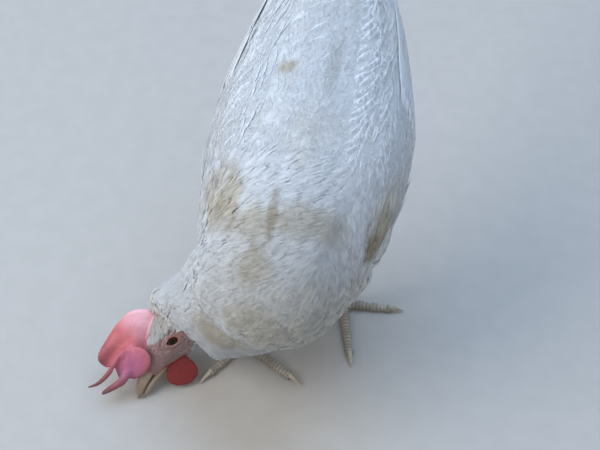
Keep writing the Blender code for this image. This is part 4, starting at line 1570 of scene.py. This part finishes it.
def body_places(points):
    """Distance behind the shoulders, rise and distance to the left of many points."""
    off = points - np.array(SHOULDER)
    return off @ np.array(TRUNK_BACK), off @ np.array(TRUNK_UP), off[:, 0]


def clumps(points, size, seed):
    """Smooth noise, one value for each point, that makes neighbouring feathers do alike."""
    shift = Vector((seed, seed * 0.7, -seed))
    return np.array([noise.noise(Vector(point) / size + shift) for point in points])


back_of, rise_of, out_of = body_places(form.points)
front = 1 - blend(back_of - 0.35 * (rise_of + 0.05), -0.022, 0.022)
belly = (1 - blend(rise_of, -0.115, BELLY_TOP)) * (1 - blend(np.abs(out_of), 0.05, 0.075))


def toward(values, share, goal):
    return values * (1 - share) + goal * share


def on_nodes(labels, nodes):
    return np.isin(labels, [FLESH.index(node) for node in nodes])


length, width, spacing = (form.spread(form.per_node(field), 12) for field in ("length", "width", "spacing"))
on_body = on_nodes(form.node, ("trunk", "wing_left", "wing_right"))
length = toward(length, on_body * front, BREAST.length)
width = toward(toward(width, on_body * front, BREAST.width), on_body * belly, BELLY.width)
spacing = toward(toward(spacing, on_body * front, BREAST.spacing), on_body * belly, BELLY.spacing)
length, width, spacing = (form.spread(values, 6) for values in (length, width, spacing))
quads = np.array([face[:4] for face in form.faces])
face_length, face_width = length[quads].mean(1), width[quads].mean(1)
face_centre = form.points[quads].mean(1)


def patterns(count, seed, *shape, **details):
    """Several feathers of one kind, which differ in their barbs."""
    return [Pattern(*shape, seed=seed + i, **details) for i in range(count)]


BROAD = patterns(6, 0, rounded, 0.96, 26, 0.13, rows=7, rounding=0.08, thick=0.00014, ragged=0.16)
NARROW = patterns(5, 10, pointed, 0.85, 10, 0.24, width=0.003, length=0.03, ragged=0.35, barb_wide=0.0003)
MIDDLE = patterns(5, 20, pointed, 0.88, 16, 0.26, width=0.004, length=0.034, ragged=0.35, barb_wide=0.0003)
DOWNY = patterns(5, 30, pointed, 0.55, 20, 0.42, rows=5, width=0.006, length=0.03, ragged=0.8,
                 barb_wide=0.00025)
BRISTLE = patterns(1, 40, pointed, 1.0, 0, 0.2, rows=4, thick=0.00012, width=0.0006, length=0.006)

# Where loose down sticks out of the coat
WISPS = [trunk_point(0.106, -0.030, -0.055), trunk_point(0.014, -0.050, -0.066)]


def grow(name, nodes, kinds, turn, rise, sway=0.25, keep=True, denser=1.0, longer=1.0, wider=1.0,
         camber=0.04):
    """Plants one layer of feathers on the given nodes and joins it into one mesh."""
    spots, faces = scatter(form, spacing / denser, on_nodes(form.face_node, nodes) & keep)
    count = len(spots)
    lengths = face_length[faces] * chance.uniform(0.85, 1.15, count) * longer
    bend = sway * (clumps(spots, 0.014, 3.0) + 0.8 * clumps(spots, 0.006, 9.0))
    lift = rise * (chance.uniform(-0.6, 0.6, count) + 1.6 * clumps(spots, 0.009, 5.0))
    spines = trace(form, spots, lengths, bend + chance.normal(0, turn, count), lift)
    batch = Batch()
    batch.stamp(spines, face_width[faces] * chance.uniform(0.85, 1.15, count) * wider, kinds, camber)
    batch.piece(name, PLUMAGE)


face_back, face_rise, face_out = body_places(face_centre)
face_front = front[quads].mean(1)
face_far = form.far[quads].mean(1)
head_back, head_rise, head_out = head_frame(face_centre)
# The end of the folded wing, which shows only its quills
quilled = (face_back - 0.55 * (face_rise + 0.050) > 0.090) & (face_rise < -0.026)
breast, above = face_front >= 0.5, face_rise > BELLY_TOP
for side, mine in (("left", face_out > 0), ("right", face_out <= 0)):
    grow("back_coat_" + side, ("trunk",), BROAD, 0.08, 0.0001, 0.12, mine & ~breast & above, denser=1.2,
         camber=0.02)
    grow("breast_coat_" + side, ("trunk", "wing_left", "wing_right"), MIDDLE, 0.09, 0.0002,
         keep=mine & breast)
    grow("wing_coat_" + side, ("wing_" + side,), BROAD, 0.08, 0.0001, 0.12, ~breast & ~quilled,
         denser=1.12, camber=0.02)
    grow("thigh_coat_" + side, ("thigh_" + side,), DOWNY, 0.2, 0.0005)
    grow("belly_coat_" + side, ("trunk",), DOWNY, 0.2, 0.0008, keep=mine & ~breast & ~above)

# Round the ear lobe and the comb's root the skin stays bare.
lobe_gap = np.hypot(head_back - EARLOBE_BACK + 0.003, head_rise - EARLOBE_RISE - 0.004)
lobe_clear = (lobe_gap > 0.0080) | (np.abs(head_out) < 0.008) | (np.abs(head_out) > 0.021)
comb_clear = (head_rise < 0.012) | (head_back > 0.070)
collar = (face_far < 0.012) & (head_back > 0.056) & (head_rise > -0.014) & comb_clear & lobe_clear
grow("nape_coat", ("head",), NARROW, 0.14, 0.0003, keep=collar, denser=1.25)
half_way = np.median(face_far[on_nodes(form.face_node, ("neck_upper",))])
for part, mine in (("upper", face_far < half_way), ("lower", face_far >= half_way)):
    grow("hackle_" + part, ("neck_upper",), NARROW, 0.12, 0.0002, keep=lobe_clear & mine, denser=1.18,
         wider=1.1)
grow("cape", ("neck_lower",), NARROW, 0.12, 0.0002, denser=1.15, wider=1.1)
wisp_gap = np.min([np.linalg.norm(face_centre - np.array(spot), axis=1) for spot in WISPS], 0)
grow("wisps", ("trunk", "wing_right"), DOWNY, 0.5, 0.0085, keep=wisp_gap < 0.007, longer=0.8, wider=0.5)
grow("tail_base_coat", ("tail_coverts",), BROAD, 0.10, 0.0003)


# The head's small feathers -----------------------------------------------------------------------
class HeadSkin(Surface):
    """The head's own skin as a surface that feathers are planted on."""

    def __init__(self, mesh):
        mesh.calc_loop_triangles()
        self.points, normals = point_array(mesh), point_array(mesh, "normal")
        corners = np.zeros(len(mesh.loop_triangles) * 3, int)
        mesh.loop_triangles.foreach_get("vertices", corners)
        corners = corners.reshape(-1, 3)
        centre = self.points[corners].mean(1)
        back, rise, left = head_frame(centre)
        on_head = (back > 0.020) & (back < 0.082) & (np.abs(left) < 0.030) & (np.abs(rise) < 0.034)
        corners = corners[on_head]
        self.faces = np.concatenate([corners, corners[:, 2:]], 1)
        centre = self.points[corners].mean(1)
        self.back, self.rise, left = head_frame(centre)
        self.face_normal = normals[corners].sum(1)
        self.face_normal /= np.linalg.norm(self.face_normal, axis=1)[:, None]
        eyes = [head_point(EYE_BACK, EYE_RISE, math.copysign(EYE_OUT, out)) for out in left]
        eye_off = centre - np.array(eyes)
        near = np.exp(-((eye_off ** 2).sum(1) / 0.010 ** 2))[:, None]
        self.face_flow = -np.array(HEAD_FORWARD) - 0.25 * np.array(HEAD_UP) + near * eye_off * 120
        self.mask = {}
        for layer in ("comb", "wattle", "lobe", "bare", "flush"):
            values = np.zeros(len(mesh.vertices))
            mesh.attributes[layer].data.foreach_get("value", values)
            self.mask[layer] = values[corners].mean(1)
        self.tree = BVHTree.FromPolygons(self.points.tolist(), corners.tolist())


head_skin = HeadSkin(skin.data)


def grow_on_head(name, allowed, sizes, kinds, turn, depth=0.0003):
    """Plants small feathers on the head's skin. Their sizes are numbers, or arrays over its faces."""
    head_skin.face_depth = np.full(len(head_skin.faces), depth)
    space, lengths, widths, rise = (np.broadcast_to(size, len(allowed)) for size in sizes)
    corner_space = np.zeros(len(head_skin.points))
    corner_space[head_skin.faces] = space[:, None]
    spots, faces = scatter(head_skin, corner_space, allowed)
    count = len(spots)
    bend = chance.normal(0, turn, count) + turn * 2 * clumps(spots, 0.004, 13.0)
    lift = rise[faces] * chance.uniform(0.3, 1.4, count)
    spines = trace(head_skin, spots, lengths[faces] * chance.uniform(0.75, 1.25, count), bend, lift)
    batch = Batch()
    batch.stamp(spines, widths[faces] * chance.uniform(0.8, 1.2, count), kinds)
    batch.piece(name, PLUMAGE)


plain = np.ones(len(head_skin.faces), bool)
for layer in ("comb", "wattle", "lobe"):
    plain &= head_skin.mask[layer] < 0.35
lids, skin_back, skin_rise = head_skin.mask["bare"], head_skin.back, head_skin.rise
crown = blend(skin_rise - 0.30 * (0.060 - skin_back), 0.0020, 0.0065) * blend(skin_back, 0.032, 0.040)
nape = blend(skin_back, 0.060, 0.066) * np.maximum(blend(skin_rise, -0.003, 0.001),
                                                   blend(skin_back, 0.071, 0.074))
throat = blend(-skin_rise, 0.012, 0.017) * blend(skin_back, 0.044, 0.052)
bare_patch = head_skin.mask["flush"] * (skin_rise > 0.013)
cover = np.maximum(np.maximum(crown, nape), throat) * (1 - bare_patch)
big = blend(skin_back, 0.046, 0.070)
ear = (np.abs(skin_back - 0.0655) < 0.0075) & (skin_rise < 0.002) & (skin_rise > -0.020)
# Each with its spacing, length, half width and how far its tips stand up
grow_on_head("crown_coat", plain & (cover > 0.4) & (lids > 1.6),
             (0.0010 + 0.0006 * big, 0.0060 + 0.0110 * big, 0.00070 + 0.0010 * big, 0.0006 + 0.0018 * big),
             NARROW, 0.22, 0.0006)
grow_on_head("face_bristles", plain & (cover <= 0.4) & (lids > 1.35) & (skin_back > 0.027),
             (0.00135, 0.0042, 0.00010, 0.0003), BRISTLE, 0.25)
grow_on_head("ear_tufts", plain & ear, (0.0012, 0.0085, 0.0007, 0.0022), NARROW, 0.45, 0.0004)


# Tail and wing quills --------------------------------------------------------------------------
TAIL_ROOT, TAIL_START, TAIL_LENGTH, COVERT_LENGTH = trunk_point(0.190, 0.002), 0.030, 0.168, 0.098
TAIL_TOP, TAIL_BOTTOM = math.radians(64), math.radians(20)
TAIL_WIDTH, COVERT_WIDTH, WING_WIDTH, FLIGHT_WIDTH = 0.0150, 0.0095, 0.0085, 0.0075     # half of it
QUILL = patterns(3, 50, rounded, 0.99, 60, 0.07, across=5, rows=14, thick=0.0004, ragged=0.04,
                 barb_wide=0.0004, width=0.014, length=0.13)
COVERT = patterns(3, 60, rounded, 0.95, 34, 0.16, across=5, rows=10, thick=0.0003, ragged=0.2,
                  barb_wide=0.0004, width=0.010, length=0.08)


def quills(name, lines, widths, camber, kinds=QUILL):
    """Long feathers. Each line gives the feather's middle and where its flat side faces, root to tip."""
    steps = Batch.STEPS
    centre, across, normal = (np.zeros((len(lines), steps + 1, 3)) for _ in range(3))
    for index, line in enumerate(lines):
        for step in range(steps + 1):
            here, flat = line(step / steps)
            ahead = line(min(step / steps + 0.02, 1.0))[0]
            behind = line(max(step / steps - 0.02, 0.0))[0]
            way = (ahead - behind).normalized()
            flat = (flat - way * flat.dot(way)).normalized()
            centre[index, step], across[index, step], normal[index, step] = here, way.cross(flat), flat
    batch = Batch()
    batch.stamp((centre, across, normal, unwrap(centre[:, 0])), np.array(widths), kinds, camber)
    return batch.piece(name, PLUMAGE)


def tail_line(side, v, shift):
    """One of the tail's main feathers, from v = 0 at the bottom of the fan to 1 at its top."""
    sign = SIGN[side]
    longest = TAIL_LENGTH * (0.74 + 0.26 * math.sin(math.pi * (0.06 + 0.74 * v)))

    def line(u):
        reach = TAIL_START + (longest - TAIL_START) * u
        angle = TAIL_BOTTOM + (TAIL_TOP - TAIL_BOTTOM) * v + 0.10 * u * u * (v - 0.3)
        lean = 0.003 + (0.012 + 0.024 * u) * (1 - v) ** 0.8 + shift * (0.4 + 0.6 * u)
        flat = Vector((sign * 0.86, 0.5 * math.sin(angle) * -0.6, 0.5 * math.cos(angle)))
        off = Vector((sign * lean, math.cos(angle) * reach, math.sin(angle) * reach))
        return TAIL_ROOT + off, flat.normalized()

    return line


def covert_line(side, v):
    """A feather that runs from the body's end out over the foot of the tail."""
    sign = SIGN[side]
    over = tail_line(side, min(max(v, 0.0), 1.0), 0.0)
    angle = TAIL_BOTTOM + (TAIL_TOP - TAIL_BOTTOM) * v
    way = Vector((0.0, math.cos(angle), math.sin(angle)))

    def line(u):
        reach = TAIL_START + COVERT_LENGTH * u
        lean = over(min(1.0, reach / TAIL_LENGTH))[0].x - TAIL_ROOT.x
        out = 0.013 * (1 - u) ** 1.3 + (abs(lean) + 0.0025) * u
        flat = Vector((sign, 0.0, 0.0)) + way * 0.35
        return TAIL_ROOT + way * reach + Vector((sign * out, 0, 0)), flat.normalized()

    return line


COVERTS, TAIL_QUILLS = 13, 8        # on each side
for side in SIDES:
    lines = [covert_line(side, -0.08 + 1.10 * i / (COVERTS - 1)) for i in range(COVERTS)]
    quills("tail_coverts_" + side, lines, [COVERT_WIDTH] * COVERTS, 0.10, COVERT)
for side in SIDES:
    lines = [tail_line(side, 0.05 + 0.90 * i / (TAIL_QUILLS - 1), 0.0006 * (i % 2))
             for i in range(TAIL_QUILLS)]
    tail = quills("tail_quills_" + side, lines, [TAIL_WIDTH] * TAIL_QUILLS, 0.12)
    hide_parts("tail_" + side)


# Where the uppermost and the lowest quill of the wing are rooted and end, as distance behind the shoulders
# and rise, for the inner wing and for the flight feathers that show behind it
WING_ROOTS, WING_TIPS = ((0.074, -0.030), (0.030, -0.086)), ((0.174, -0.018), (0.118, -0.074))
FLIGHT_ROOTS, FLIGHT_TIPS = ((0.090, -0.034), (0.080, -0.058)), ((0.204, -0.014), (0.172, -0.046))


def wing_line(side, root, tip, lift):
    """A quill that lies on the body's side, lift above it, with its root under the coat."""
    sign = SIGN[side]

    def line(u):
        back = root[0] + (tip[0] - root[0]) * u
        rise = root[1] + (tip[1] - root[1]) * u - 0.010 * u * (1 - u)
        place, normal, _, _ = form.tree.ray_cast(trunk_point(back, rise, sign * 0.12), Vector((-sign, 0, 0)))
        if place is None:
            place, normal, _, _ = form.tree.find_nearest(trunk_point(back, rise, sign * 0.02))
        return place + normal * (lift - 0.0045 * (1 - min(u / 0.35, 1.0)) ** 2), normal

    return line


def fan(side, roots, tips, count, lift, step):
    """Lines for count quills, from the uppermost to the lowest."""
    for index in range(count):
        share = index / (count - 1)
        root, tip = (tuple(a + (b - a) * share for a, b in zip(*ends)) for ends in (roots, tips))
        yield wing_line(side, root, tip, lift + step * (count - 1 - index))


for side in SIDES:
    flight = list(fan(side, FLIGHT_ROOTS, FLIGHT_TIPS, 4, 0.0003, 0.0003))
    inner = list(fan(side, WING_ROOTS, WING_TIPS, 11, 0.0006, 0.0001))
    widths = [FLIGHT_WIDTH] * len(flight) + [WING_WIDTH] * len(inner)
    quills("wing_quills_" + side, flight + inner, widths, 0.03)


# Stage ---------------------------------------------------------------------------------------
FLOOR_TONE = colour(0.47, 0.44, 0.40)
FLOOR_SPOT = colour(*(0.96 * part for part in FLOOR_TONE[:3]))
AIM = HERE + Vector((0, 0, 0.15))       # what the camera and the lights look at


def add_floor():
    bm = bmesh.new()
    bmesh.ops.create_grid(bm, x_segments=1, y_segments=1, size=4.0)
    mesh = bpy.data.meshes.new("floor")
    bm.to_mesh(mesh)
    bm.free()
    look, net, surface = new_look("floor", 0.9)
    grains = net.noise(net.place(), 60.0, 5.0)
    set_colour(net, surface, net.mix(net.ramp(grains, 0.3, 0.7), FLOOR_TONE, FLOOR_SPOT))
    mesh.materials.append(look)
    in_scene("floor", mesh)


def aimed(name, data, azimuth, elevation, far):
    """Puts a lamp or camera where it looks down at the hen. Azimuth 0 is in front of her."""
    turn, tilt = math.radians(azimuth), math.radians(elevation)
    back = Vector((math.sin(turn) * math.cos(tilt), -math.cos(turn) * math.cos(tilt), math.sin(tilt)))
    obj = in_scene(name, data)
    obj.location = AIM + back * far
    obj.rotation_euler = back.to_track_quat("Z", "Y").to_euler()
    return obj


def add_softbox(name, azimuth, elevation, far, power, tint):
    light = bpy.data.lights.new(name, "AREA")
    light.shape = "DISK"
    light.size, light.energy, light.color = 1.8, power, tint
    aimed(name, light, azimuth, elevation, far)


def add_stage():
    add_floor()
    add_softbox("sky_light", 170, 72, 2.2, 33, (0.46, 0.75, 1.20))
    add_softbox("front_light", -62, 42, 2.4, 38, (0.96, 0.96, 0.96))
    world = bpy.data.worlds.new("studio")
    bpy.context.scene.world = world
    world.use_nodes = True
    background = world.node_tree.nodes["Background"]
    background.inputs["Color"].default_value = (0.82, 0.88, 0.96, 1)
    background.inputs["Strength"].default_value = 0.58
    camera = bpy.data.cameras.new("camera")
    camera.lens, camera.sensor_width = 75.0, 36.0
    bpy.context.scene.camera = aimed("camera", camera, 12, 50, 0.84)
    bpy.context.scene.view_settings.view_transform = "Standard"


add_stage()
